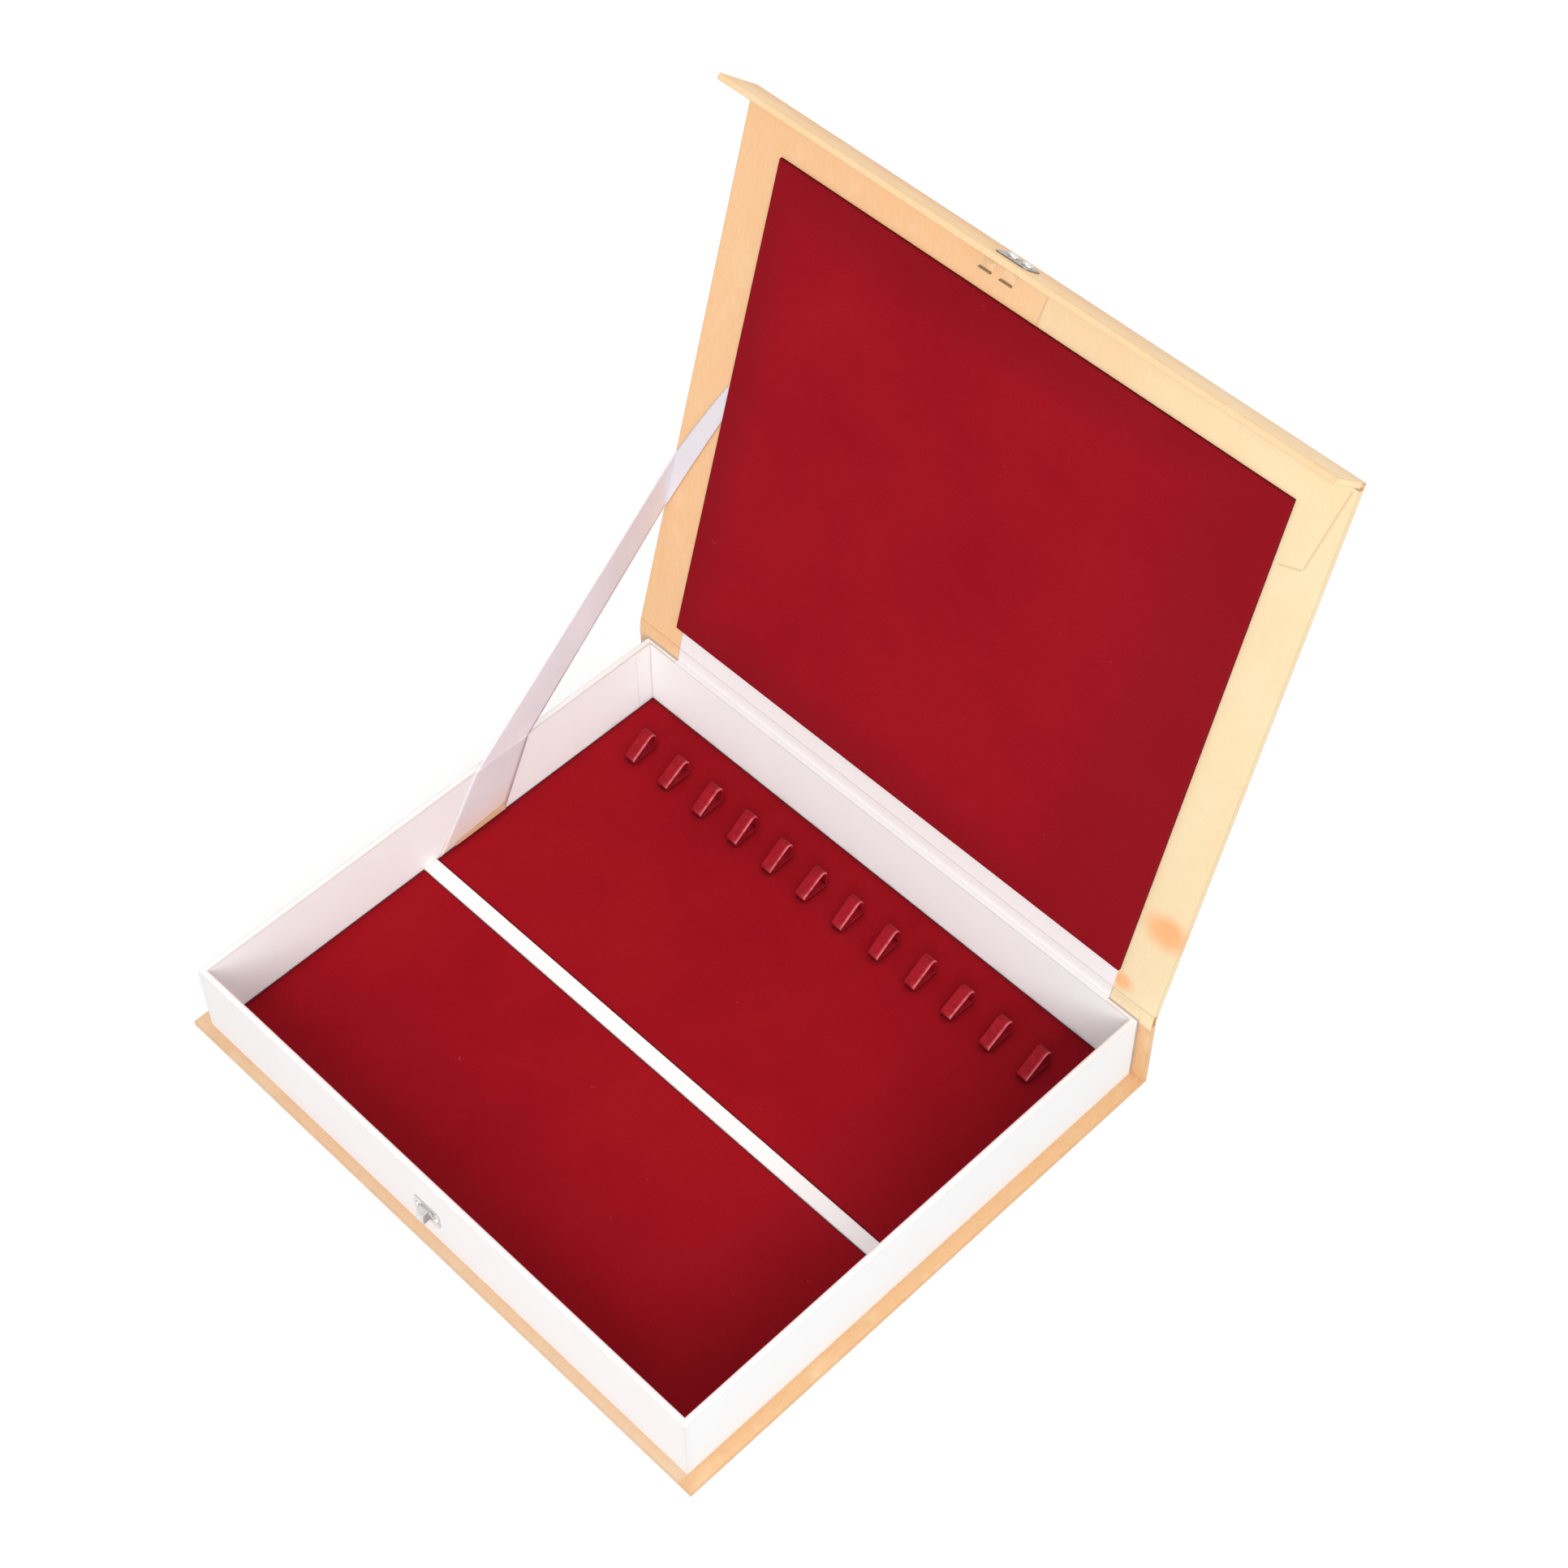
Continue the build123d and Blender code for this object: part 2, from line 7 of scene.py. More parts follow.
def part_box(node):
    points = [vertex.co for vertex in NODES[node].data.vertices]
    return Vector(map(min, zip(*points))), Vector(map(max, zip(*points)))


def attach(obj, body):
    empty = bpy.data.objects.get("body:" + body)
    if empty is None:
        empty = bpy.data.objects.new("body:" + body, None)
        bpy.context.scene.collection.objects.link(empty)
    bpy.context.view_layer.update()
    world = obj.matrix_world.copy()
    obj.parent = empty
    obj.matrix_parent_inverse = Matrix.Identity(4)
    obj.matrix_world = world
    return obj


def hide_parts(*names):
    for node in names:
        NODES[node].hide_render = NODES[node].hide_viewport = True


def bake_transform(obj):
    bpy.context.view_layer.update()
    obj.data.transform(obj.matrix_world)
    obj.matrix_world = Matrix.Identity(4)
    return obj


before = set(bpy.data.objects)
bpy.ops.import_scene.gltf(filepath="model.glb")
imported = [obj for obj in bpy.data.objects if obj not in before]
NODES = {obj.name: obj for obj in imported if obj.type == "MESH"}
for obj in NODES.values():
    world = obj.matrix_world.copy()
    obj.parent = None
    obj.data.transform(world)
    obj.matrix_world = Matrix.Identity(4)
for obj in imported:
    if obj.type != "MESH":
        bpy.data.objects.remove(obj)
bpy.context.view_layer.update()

MM = 0.001
LOW = {n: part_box(n)[0] / MM for n in NODES}
HIGH = {n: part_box(n)[1] / MM for n in NODES}

# Sizes of the frame that the dressed pieces follow, in millimetres. Angles are in radians
OPEN = math.radians(106.0)
FOLD = math.radians(64.8)
CASE_HALF = 150.0
REAR = HIGH["base_cover_paper"].y
HINGE = Vector((0.0, REAR, 45.2))
REACH = 268.0
THICK = 2.6
WALL = 3.0
TRAY_HALF = HIGH["tray_cover_paper"].x
TRAY_FRONT = LOW["tray_cover_paper"].y
TRAY_REAR = HIGH["tray_cover_paper"].y
INNER_HALF = TRAY_HALF - WALL
INNER_FRONT = TRAY_FRONT + WALL
INNER_REAR = TRAY_REAR - WALL
LID_ALONG = Vector((0.0, -math.cos(OPEN), math.sin(OPEN)))
LID_OUT = Vector((0.0, math.sin(OPEN), math.cos(OPEN)))
LID_FOOT = HINGE - LID_OUT * THICK
FLAP_ALONG = Vector((0.0, -math.cos(OPEN - FOLD), math.sin(OPEN - FOLD)))
FLAP_OUT = Vector((0.0, math.sin(OPEN - FOLD), math.cos(OPEN - FOLD)))
CREASE = HINGE + LID_ALONG * REACH
PAD_TOP = HIGH["rear_pad_velvet"].z
RIM = HIGH["tray_cover_paper"].z


def lid_at(x, along, proud=0.0):
    """Point on the lid's inner face, raised by proud towards the viewer."""
    return Vector((x, 0, 0)) + HINGE + LID_ALONG * along - LID_OUT * (THICK + proud)


# Node helpers for the materials. Shaders measure places in metres

def new_material(name):
    m = bpy.data.materials.new(name)
    m.use_nodes = True
    tree = m.node_tree
    return m, tree, tree.nodes["Principled BSDF"]


def put(tree, value, socket):
    """Link an output to the socket, or set a colour or a number on it."""
    if hasattr(value, "is_output"):
        tree.links.new(value, socket)
    elif isinstance(value, tuple):
        socket.default_value = (*value, 1.0)
    else:
        socket.default_value = value


def coords(tree, scale=(1, 1, 1)):
    source = tree.nodes.new("ShaderNodeTexCoord")
    mapping = tree.nodes.new("ShaderNodeMapping")
    mapping.inputs["Scale"].default_value = scale
    tree.links.new(source.outputs["Object"], mapping.inputs["Vector"])
    return mapping.outputs["Vector"]


def axes_of(tree, vector):
    split = tree.nodes.new("ShaderNodeSeparateXYZ")
    tree.links.new(vector, split.inputs[0])
    return split.outputs["X"], split.outputs["Y"], split.outputs["Z"]


def attribute(tree, name, output):
    n = tree.nodes.new("ShaderNodeAttribute")
    n.attribute_name = name
    return n.outputs[output]


def noise(tree, vector, scale, detail=3.0, roughness=0.5):
    n = tree.nodes.new("ShaderNodeTexNoise")
    for key, number in (("Scale", scale), ("Detail", detail), ("Roughness", roughness)):
        n.inputs[key].default_value = number
    tree.links.new(vector, n.inputs["Vector"])
    return n.outputs["Fac"]


def wave(tree, vector, direction, scale, distortion):
    n = tree.nodes.new("ShaderNodeTexWave")
    n.bands_direction = direction
    n.inputs["Scale"].default_value = scale
    n.inputs["Distortion"].default_value = distortion
    tree.links.new(vector, n.inputs["Vector"])
    return n.outputs["Fac"]


def remap(tree, value, low, high, to_low=0.0, to_high=1.0):
    n = tree.nodes.new("ShaderNodeMapRange")
    for key, number in (("From Min", low), ("From Max", high), ("To Min", to_low), ("To Max", to_high)):
        n.inputs[key].default_value = number
    tree.links.new(value, n.inputs["Value"])
    return n.outputs["Result"]


def smooth_step(tree, value, low, high):
    """Rises softly from 0 at low to 1 at high. With high below low it falls as the value grows."""
    n = tree.nodes.new("ShaderNodeMapRange")
    n.interpolation_type = "SMOOTHSTEP"
    n.inputs["From Min"].default_value = low
    n.inputs["From Max"].default_value = high
    tree.links.new(value, n.inputs["Value"])
    return n.outputs["Result"]


def mix(tree, factor, a, b):
    n = tree.nodes.new("ShaderNodeMix")
    n.data_type = "RGBA"
    put(tree, factor, n.inputs[0])
    put(tree, a, n.inputs[6])
    put(tree, b, n.inputs[7])
    return n.outputs[2]


def math_node(tree, operation, a, b=0.0):
    n = tree.nodes.new("ShaderNodeMath")
    n.operation = operation
    put(tree, a, n.inputs[0])
    put(tree, b, n.inputs[1])
    return n.outputs[0]


def combine(tree, *values):
    """Product of masks."""
    out = values[0]
    for value in values[1:]:
        out = math_node(tree, "MULTIPLY", out, value)
    return out


def either(tree, *values):
    """Largest of masks."""
    out = values[0]
    for value in values[1:]:
        out = math_node(tree, "MAXIMUM", out, value)
    return out


def total(tree, a, b, share=1.0):
    """a plus the given share of b."""
    return math_node(tree, "ADD", a, math_node(tree, "MULTIPLY", b, share))


def distance_along(tree, y, z, origin, direction):
    """Distance from origin along direction, both in the plane of Y and Z."""
    dy = math_node(tree, "SUBTRACT", y, origin.y * MM)
    dz = math_node(tree, "SUBTRACT", z, origin.z * MM)
    return total(tree, math_node(tree, "MULTIPLY", dy, direction.y), dz, direction.z)


def bump(tree, shader, height, strength, distance, edge=0.0):
    """Surface relief. With edge, sharp edges look rounded by that radius."""
    b = tree.nodes.new("ShaderNodeBump")
    b.inputs["Strength"].default_value = strength
    b.inputs["Distance"].default_value = distance
    tree.links.new(height, b.inputs["Height"])
    if edge:
        tree.links.new(rounded_normal(tree, edge), b.inputs["Normal"])
    tree.links.new(b.outputs["Normal"], shader.inputs["Normal"])


def rounded_normal(tree, radius):
    soft = tree.nodes.new("ShaderNodeBevel")
    soft.samples = 4
    soft.inputs["Radius"].default_value = radius
    return soft.outputs["Normal"]


def edge_mask(tree, radius):
    """1 near the sharp edges of a piece and 0 on its flats."""
    sharp = tree.nodes.new("ShaderNodeNewGeometry")
    product = tree.nodes.new("ShaderNodeVectorMath")
    product.operation = "DOT_PRODUCT"
    tree.links.new(rounded_normal(tree, radius), product.inputs[0])
    tree.links.new(sharp.outputs["Normal"], product.inputs[1])
    return remap(tree, product.outputs["Value"], 0.995, 0.75)


def shade_mask(tree, distance, low, high):
    """Ambient occlusion for painted shade: 1 deep in corners and creases, 0 in the open."""
    ao = tree.nodes.new("ShaderNodeAmbientOcclusion")
    ao.samples = 8
    ao.inputs["Distance"].default_value = distance
    return remap(tree, ao.outputs["AO"], high, low)


def line_mask(tree, u, v, start, end, half_width):
    """1 on the straight line from start to end in the plane of u and v."""
    (u0, v0), (u1, v1) = start, end
    length = math.hypot(u1 - u0, v1 - v0)
    du, dv = (u1 - u0) / length, (v1 - v0) / length
    pu = math_node(tree, "SUBTRACT", u, u0)
    pv = math_node(tree, "SUBTRACT", v, v0)
    along = total(tree, math_node(tree, "MULTIPLY", pu, du), pv, dv)
    aside = total(tree, math_node(tree, "MULTIPLY", pu, dv), pv, -du)
    near = remap(tree, math_node(tree, "ABSOLUTE", aside), half_width * 0.4, half_width, 1.0, 0.0)
    from_middle = math_node(tree, "ABSOLUTE", math_node(tree, "SUBTRACT", along, length / 2))
    inside = remap(tree, from_middle, length / 2 - half_width, length / 2, 1.0, 0.0)
    return combine(tree, near, inside)


def spot_mask(tree, u, v, place, radii):
    """Soft oval spot in the plane of u and v."""
    du = math_node(tree, "DIVIDE", math_node(tree, "SUBTRACT", u, place[0]), radii[0])
    dv = math_node(tree, "DIVIDE", math_node(tree, "SUBTRACT", v, place[1]), radii[1])
    squares = total(tree, math_node(tree, "POWER", du, 2.0), math_node(tree, "POWER", dv, 2.0))
    return remap(tree, math_node(tree, "SQRT", squares), 0.4, 1.0, 1.0, 0.0)


def scaled(colour, factors):
    return tuple(a * b for a, b in zip(colour, factors))


# Colours, as linear red, green and blue

PEACH = (0.750, 0.452, 0.232)
CREAM_SHEEN = (0.740, 0.600, 0.370)
FLAP_SHADED = (0.800, 0.490, 0.265)
FLAP_LIT = (0.880, 0.590, 0.300)
FLAP_SHEEN = (0.92, 0.76, 0.50)
FLAP_EDGE_SHADE = (0.700, 0.470, 0.265)
BASE_LEFT = (0.66, 0.425, 0.250)
BASE_RIGHT = (0.67, 0.475, 0.310)
BASE_LIP = (0.66, 0.385, 0.185)
GOLD_DEEP = (0.80, 0.43, 0.20)
GOLD_DULL = (0.86, 0.72, 0.50)
GOLD_FIBRE = (0.90, 0.80, 0.63)
GOLD_PAINTED_SHADE = (0.60, 0.33, 0.17)
GOLD_WORN = (0.46, 0.29, 0.16)
STAIN = (0.80, 0.365, 0.145)
SEAM = (0.52, 0.30, 0.15)
RIM_WHITE = (0.80, 0.780, 0.775)
RIM_DULL = (0.77, 0.730, 0.720)
INNER_WALL_LIT = (0.885, 0.915, 0.915)
INNER_WALL_LIT_DULL = (0.875, 0.890, 0.890)
RIGHT_SIDE_SHADE = (0.755, 0.765, 0.775)
CORNER_SHADE = (0.74, 0.72, 0.72)
INNER_EDGE = (0.60, 0.52, 0.50)
SPINE_SHADOW = (0.36, 0.30, 0.27)
OVERLAP_LINE = (0.66, 0.55, 0.50)
WHITE_PAINTED_SHADE = (0.66, 0.50, 0.47)
WHITE_WORN = (0.70, 0.60, 0.56)
LINT = (0.56, 0.06, 0.09)
PAINTED_GLINT = (0.66, 0.150, 0.175)
LEATHER_PAINTED_SHADE = (0.045, 0.001, 0.003)
THREAD = (0.66, 0.64, 0.69)
RIBBON_FOOT = (0.80, 0.55, 0.38)
RIBBON_LID_SHADE = (0.660, 0.620, 0.660)
METAL_WORN = (0.90, 0.90, 0.90)
METAL_PAINTED_SHADE = (0.14, 0.12, 0.10)
PRONG_TIP_SHADE = (0.20, 0.13, 0.06)

# Marks on the lid's inner face, as x and distance from the hinge in metres
LID_SEAMS = [
    ((0.1475, 0.264), (0.1405, 0.224)),
    ((0.1405, 0.224), (0.1300, 0.2205)),
    ((0.0045, 0.2480), (0.0065, 0.2640)),
]
LID_STAINS = [((0.1420, 0.0435), (0.014, 0.0105)), ((0.1310, 0.0085), (0.007, 0.005))]


def lid_position(tree, y, z):
    """Distance from the hinge along the lid, and 1 on the lid's inner face against 0 on its outside."""
    along = math_node(tree, "DIVIDE", math_node(tree, "SUBTRACT", z, LID_FOOT.z * MM), LID_ALONG.z)
    depth = distance_along(tree, y, z, LID_FOOT, LID_OUT)
    return along, smooth_step(tree, depth, 0.0024, 0.0020)


def base_tone(t, x, side):
    tone = mix(t, remap(t, side, -0.15, 0.15), BASE_LEFT, BASE_RIGHT)
    return mix(t, smooth_step(t, x, 0.1425, 0.1445), tone, BASE_LIP)


def flap_tone(t, side, y, z):
    """Painted light and shade: shaded peach at the crease, lit towards the free edge, a painted pale sheen
    towards the right, and painted shade on the cut edge.
    """
    along = distance_along(t, y, z, CREASE, FLAP_ALONG)
    tone = mix(t, smooth_step(t, along, 0.003, 0.0190), FLAP_SHADED, FLAP_LIT)
    tone = mix(t, combine(t, smooth_step(t, side, 0.0, 0.12), 0.30), tone, FLAP_SHEEN)
    return mix(t, smooth_step(t, along, 0.02625, 0.02645), tone, FLAP_EDGE_SHADE)


def lid_tone(t, x, side, z, along, inner_face):
    """Peach with a painted cream sheen at the right, and at the free edge right of the joint in the paper."""
    pale = combine(t, smooth_step(t, side, -0.05, 0.09), smooth_step(t, z, 0.0385, 0.0415))
    joined = combine(t, smooth_step(t, along, 0.246, 0.2475), smooth_step(t, x, 0.0050, 0.0066), 0.75)
    return mix(t, combine(t, either(t, pale, joined), inner_face), PEACH, CREAM_SHEEN)


def gold_paper(name, where, thin=False):
    """Pearl paper. where is lid, flap or base. Thin strips show no painted corner shade and no rubbed edges.
    """
    m, t, s = new_material(name)
    v = coords(t)
    x, y, z = axes_of(t, v)
    wander = noise(t, v, 14.0, 3.0)
    side = math_node(t, "ADD", x, remap(t, wander, 0.3, 0.7, -0.012, 0.012))
    cloud = noise(t, coords(t, scale=(1, 1, 0.6)), 42.0, 4.0, 0.6)
    fibre = noise(t, coords(t, scale=(1, 0.3, 0.3)), 900.0, 2.0, 0.6)
    height = total(t, fibre, cloud, 0.6)
    if where == "base":
        tone = base_tone(t, x, side)
    elif where == "flap":
        tone = flap_tone(t, side, y, z)
    else:
        along, inner_face = lid_position(t, y, z)
        tone = lid_tone(t, x, side, z, along, inner_face)
    tone = mix(t, remap(t, cloud, 0.45, 0.75, 0.0, 0.25), tone, GOLD_DEEP)
    tone = mix(t, remap(t, cloud, 0.45, 0.25, 0.0, 0.25), tone, GOLD_DULL)
    tone = mix(t, remap(t, fibre, 0.3, 0.7, 0.0, 0.10), tone, GOLD_FIBRE)
    if where == "lid":
        spots = either(t, *[spot_mask(t, x, along, place, radii) for place, radii in LID_STAINS])
        stains = combine(t, spots, remap(t, cloud, 0.25, 0.6, 0.5, 1.0), inner_face)
        seams = either(t, *[line_mask(t, x, along, a, b, 0.0007) for a, b in LID_SEAMS])
        seams = combine(t, seams, inner_face)
        tone = mix(t, combine(t, stains, 0.95), tone, STAIN)
        tone = mix(t, combine(t, seams, 0.38), tone, SEAM)
        height = total(t, height, seams, -1.2)
    if not thin:
        # Painted shade in the paper's corners and creases
        tone = mix(t, combine(t, shade_mask(t, 0.004, 0.30, 0.85), 0.30), tone, GOLD_PAINTED_SHADE)
        faint = 0.10 if where == "flap" else 0.25
        wear_and_glint = combine(t, edge_mask(t, 0.0006), remap(t, wander, 0.3, 0.6, faint, faint + 0.25))
        tone = mix(t, wear_and_glint, tone, GOLD_WORN)
    put(t, tone, s.inputs["Base Color"])
    put(t, remap(t, cloud, 0.3, 0.7, 0.44, 0.58), s.inputs["Roughness"])
    s.inputs["Specular IOR Level"].default_value = 0.25
    bump(t, s, height, 0.14, 0.0002, 0.0004)
    return m


def tray_tone(t, tone, x, y, z, cloud, crinkle):
    """The tray's white by place: painted light on the inner walls, painted shade on the right side and the
    front corner edges, the rim, and a painted shadow line at the spine.
    """
    across = math_node(t, "ABSOLUTE", x)
    outward = either(t, math_node(t, "SUBTRACT", across, INNER_HALF * MM),
                     math_node(t, "SUBTRACT", INNER_FRONT * MM, y),
                     math_node(t, "SUBTRACT", y, INNER_REAR * MM))
    inside = remap(t, outward, -0.0001, 0.0003, 1.0, 0.0)
    # Painted light: the inner walls are lighter than the outside
    tone = mix(t, inside, tone, mix(t, remap(t, cloud, 0.3, 0.7), INNER_WALL_LIT, INNER_WALL_LIT_DULL))
    right_side = smooth_step(t, x, (TRAY_HALF - 0.3) * MM, (TRAY_HALF - 0.1) * MM)
    # Painted shade on the tray's right outer side
    tone = mix(t, combine(t, right_side, 0.9), tone, RIGHT_SIDE_SHADE)
    rim = smooth_step(t, z, (RIM - 0.30) * MM, (RIM - 0.05) * MM)
    tone = mix(t, rim, tone, mix(t, remap(t, crinkle, 0.35, 0.7), RIM_WHITE, RIM_DULL))
    inner_edge = combine(t, rim, remap(t, outward, 0.0004, 0.0009, 0.8, 0.0))
    tone = mix(t, inner_edge, tone, INNER_EDGE)
    # Painted shade on the rounded front corner edges below the rim
    corner = combine(t, smooth_step(t, across, (TRAY_HALF - 3.4) * MM, (TRAY_HALF - 2.4) * MM),
                     smooth_step(t, y, (TRAY_FRONT + 3.4) * MM, (TRAY_FRONT + 2.4) * MM),
                     remap(t, rim, 0.0, 1.0, 0.55, 0.0))
    tone = mix(t, corner, tone, CORNER_SHADE)
    spine = smooth_step(t, y, (TRAY_REAR - 1.6) * MM, (TRAY_REAR - 1.2) * MM)
    tone = mix(t, combine(t, spine, 0.85), tone, SPINE_SHADOW)
    overlap_y = INNER_REAR * MM - 0.0084
    overlap = line_mask(t, y, z, (overlap_y, 0.005), (overlap_y, 0.0405), 0.0003)
    left_wall = remap(t, x, -(INNER_HALF - 1.5) * MM, -(INNER_HALF - 0.8) * MM)
    return mix(t, combine(t, overlap, left_wall, 0.4), tone, OVERLAP_LINE)


def white_paper(name, pale, tray=False):
    """Matt white paper, a little pinker in clouds and creases, with painted shade in its corners, rubbed at
    its edges.
    """
    m, t, s = new_material(name)
    v = coords(t)
    x, y, z = axes_of(t, v)
    cloud = noise(t, v, 34.0, 4.0, 0.6)
    crinkle = noise(t, coords(t, scale=(1, 1, 0.5)), 150.0, 4.0, 0.65)
    fibre = noise(t, v, 1100.0, 2.0, 0.6)
    clouded = scaled(pale, (0.985, 0.965, 0.965))
    creased = scaled(pale, (0.94, 0.88, 0.87))
    tone = mix(t, remap(t, cloud, 0.3, 0.7, 0.0, 0.7), pale, clouded)
    tone = mix(t, remap(t, crinkle, 0.55, 0.80, 0.0, 0.20), tone, creased)
    if tray:
        tone = tray_tone(t, tone, x, y, z, cloud, crinkle)
    # Painted shade in the paper's corners and creases
    tone = mix(t, combine(t, shade_mask(t, 0.003, 0.25, 0.80), 0.25), tone, WHITE_PAINTED_SHADE)
    tone = mix(t, combine(t, edge_mask(t, 0.0008), 0.40), tone, WHITE_WORN)
    put(t, tone, s.inputs["Base Color"])
    put(t, remap(t, cloud, 0.3, 0.7, 0.55, 0.68), s.inputs["Roughness"])
    s.inputs["Specular IOR Level"].default_value = 0.15
    height = total(t, math_node(t, "MULTIPLY", fibre, 0.5), crinkle, 1.2)
    bump(t, s, height, 0.14, 0.0003, 0.0005)
    return m


def floor_wall_shadow(t, x, y):
    """1 where painted shadow of the walls lies on the floor: along the front wall and towards the right wall.
    """
    return either(t, smooth_step(t, y, -0.085, -0.118), smooth_step(t, x, 0.060, 0.134))


def lid_edge_shade(t, x, z):
    """1 where painted shade lies on the lid's velvet: towards the panel's four edges."""
    along = math_node(t, "DIVIDE", math_node(t, "SUBTRACT", z, LID_FOOT.z * MM), LID_ALONG.z)
    return either(t, smooth_step(t, along, 0.040, 0.014), smooth_step(t, along, 0.215, 0.247),
                  smooth_step(t, x, 0.050, 0.126), smooth_step(t, x, -0.105, -0.129))


def velvet(name, deep, light, shade_tone, where):
    """Short red pile with painted shade: darker and more purple towards the front and right walls on the
    floor and towards the panel's edges on the lid, and dark at the cloth's edges and in creases.
    """
    m, t, s = new_material(name)
    v = coords(t)
    x, y, z = axes_of(t, v)
    mottle = noise(t, v, 16.0, 5.0, 0.6)
    brushed = noise(t, coords(t, scale=(0.35, 1, 1)), 90.0, 3.0, 0.55)
    pile = noise(t, v, 2600.0, 2.0, 0.7)
    lint = noise(t, v, 240.0, 2.0, 0.5)
    tone = mix(t, remap(t, mottle, 0.32, 0.70), deep, light)
    tone = mix(t, remap(t, brushed, 0.35, 0.75, 0.0, 0.18), tone, light)
    tone = mix(t, remap(t, pile, 0.35, 0.75, 0.0, 0.35), tone, scaled(deep, (0.6, 0.6, 0.6)))
    tone = mix(t, remap(t, lint, 0.76, 0.82, 0.0, 0.35), tone, LINT)
    painted_shade = floor_wall_shadow(t, x, y) if where == "floor" else lid_edge_shade(t, x, z)
    painted_shade = combine(t, painted_shade, remap(t, mottle, 0.3, 0.7, 0.75, 1.0), 0.38)
    # Painted shade: a deeper, more purple red
    tone = mix(t, painted_shade, tone, scaled(deep, (0.48, 1.3, 1.2)))
    # Painted shade at the cloth's edges and in creases
    edge_and_crease_shade = either(t, shade_mask(t, 0.004, 0.45, 0.98), edge_mask(t, 0.0012))
    tone = mix(t, combine(t, edge_and_crease_shade, 0.75), tone, shade_tone)
    put(t, tone, s.inputs["Base Color"])
    s.inputs["Roughness"].default_value = 0.95
    s.inputs["Specular IOR Level"].default_value = 0.06
    s.inputs["Sheen Weight"].default_value = 0.05
    s.inputs["Sheen Roughness"].default_value = 0.40
    s.inputs["Sheen Tint"].default_value = (1.0, 0.25, 0.36, 1.0)
    bump(t, s, total(t, pile, brushed, 0.7), 0.40, 0.0003)
    return m


def leatherette(name):
    """Grained red leatherette, with a painted highlight where the loop's mesh carries its highlight value,
    and painted shade in its hollows.
    """
    m, t, s = new_material(name)
    v = coords(t)
    grain = t.nodes.new("ShaderNodeTexVoronoi")
    grain.feature = "DISTANCE_TO_EDGE"
    grain.inputs["Scale"].default_value = 1700.0
    t.links.new(v, grain.inputs["Vector"])
    crinkle = noise(t, v, 420.0, 4.0, 0.6)
    tone = mix(t, remap(t, crinkle, 0.35, 0.7), (0.225, 0.0035, 0.0095), (0.320, 0.0065, 0.0150))
    # Painted shade in the loop's hollows and its opening
    tone = mix(t, combine(t, shade_mask(t, 0.006, 0.25, 0.75), 0.7), tone, LEATHER_PAINTED_SHADE)
    patchy = remap(t, noise(t, v, 320.0, 2.0), 0.35, 0.55, 0.45, 1.0)
    # Painted highlight along the strap's right edge, with a painted glint at its front end
    tone = mix(t, combine(t, attribute(t, "glint", "Fac"), patchy), tone, PAINTED_GLINT)
    put(t, tone, s.inputs["Base Color"])
    put(t, remap(t, crinkle, 0.3, 0.7, 0.36, 0.50), s.inputs["Roughness"])
    s.inputs["Specular IOR Level"].default_value = 0.10
    height = math_node(t, "ADD", remap(t, grain.outputs["Distance"], 0.0, 0.12), crinkle)
    bump(t, s, height, 0.30, 0.00025)
    return m


def satin(name):
    """Woven ribbon, tan towards its foot and darker with painted shade towards the lid. Its threads follow
    the run across and along that its mesh carries.
    """
    m, t, s = new_material(name)
    v = attribute(t, "run", "Vector")
    threads = wave(t, v, "X", 900.0, 0.6)
    picks = wave(t, v, "Y", 700.0, 0.8)
    cloud = noise(t, v, 60.0, 3.0)
    z = axes_of(t, coords(t))[2]
    tone = mix(t, remap(t, cloud, 0.3, 0.7), (0.700, 0.695, 0.735), (0.755, 0.750, 0.790))
    tone = mix(t, remap(t, threads, 0.0, 1.0, 0.0, 0.15), tone, THREAD)
    tone = mix(t, combine(t, smooth_step(t, z, 0.026, 0.008), 0.45), tone, RIBBON_FOOT)
    # Painted shade on the ribbon towards the lid
    tone = mix(t, smooth_step(t, z, 0.105, 0.138), tone, RIBBON_LID_SHADE)
    put(t, tone, s.inputs["Base Color"])
    put(t, remap(t, cloud, 0.3, 0.7, 0.36, 0.48), s.inputs["Roughness"])
    s.inputs["Sheen Weight"].default_value = 0.15
    bump(t, s, total(t, threads, picks, 0.6), 0.20, 0.00008)
    return m


def plated(name, dull, bright, tips=False):
    """Plated sheet metal with smudges, fine scratches and painted shade in its hollows. With tips, the
    prongs' ends get painted shade.
    """
    m, t, s = new_material(name)
    v = coords(t)
    smudge = noise(t, v, 220.0, 4.0, 0.6)
    scratch = noise(t, coords(t, scale=(1, 14, 14)), 700.0, 2.0)
    tone = mix(t, remap(t, smudge, 0.3, 0.7), dull, bright)
    tone = mix(t, combine(t, edge_mask(t, 0.0003), 0.4), tone, METAL_WORN)
    # Painted shade in the metal's hollows
    tone = mix(t, combine(t, shade_mask(t, 0.002, 0.35, 0.95), 0.35), tone, METAL_PAINTED_SHADE)
    if tips:
        x, y, z = axes_of(t, v)
        outside = distance_along(t, y, z, CREASE, FLAP_OUT)
        # Painted shade on the prongs' ends
        tone = mix(t, combine(t, smooth_step(t, outside, -0.0062, -0.0070), 0.85), tone, PRONG_TIP_SHADE)
    put(t, tone, s.inputs["Base Color"])
    s.inputs["Metallic"].default_value = 1.0
    put(t, remap(t, smudge, 0.3, 0.7, 0.22, 0.42), s.inputs["Roughness"])
    bump(t, s, scratch, 0.15, 0.00006, 0.00015)
    return m


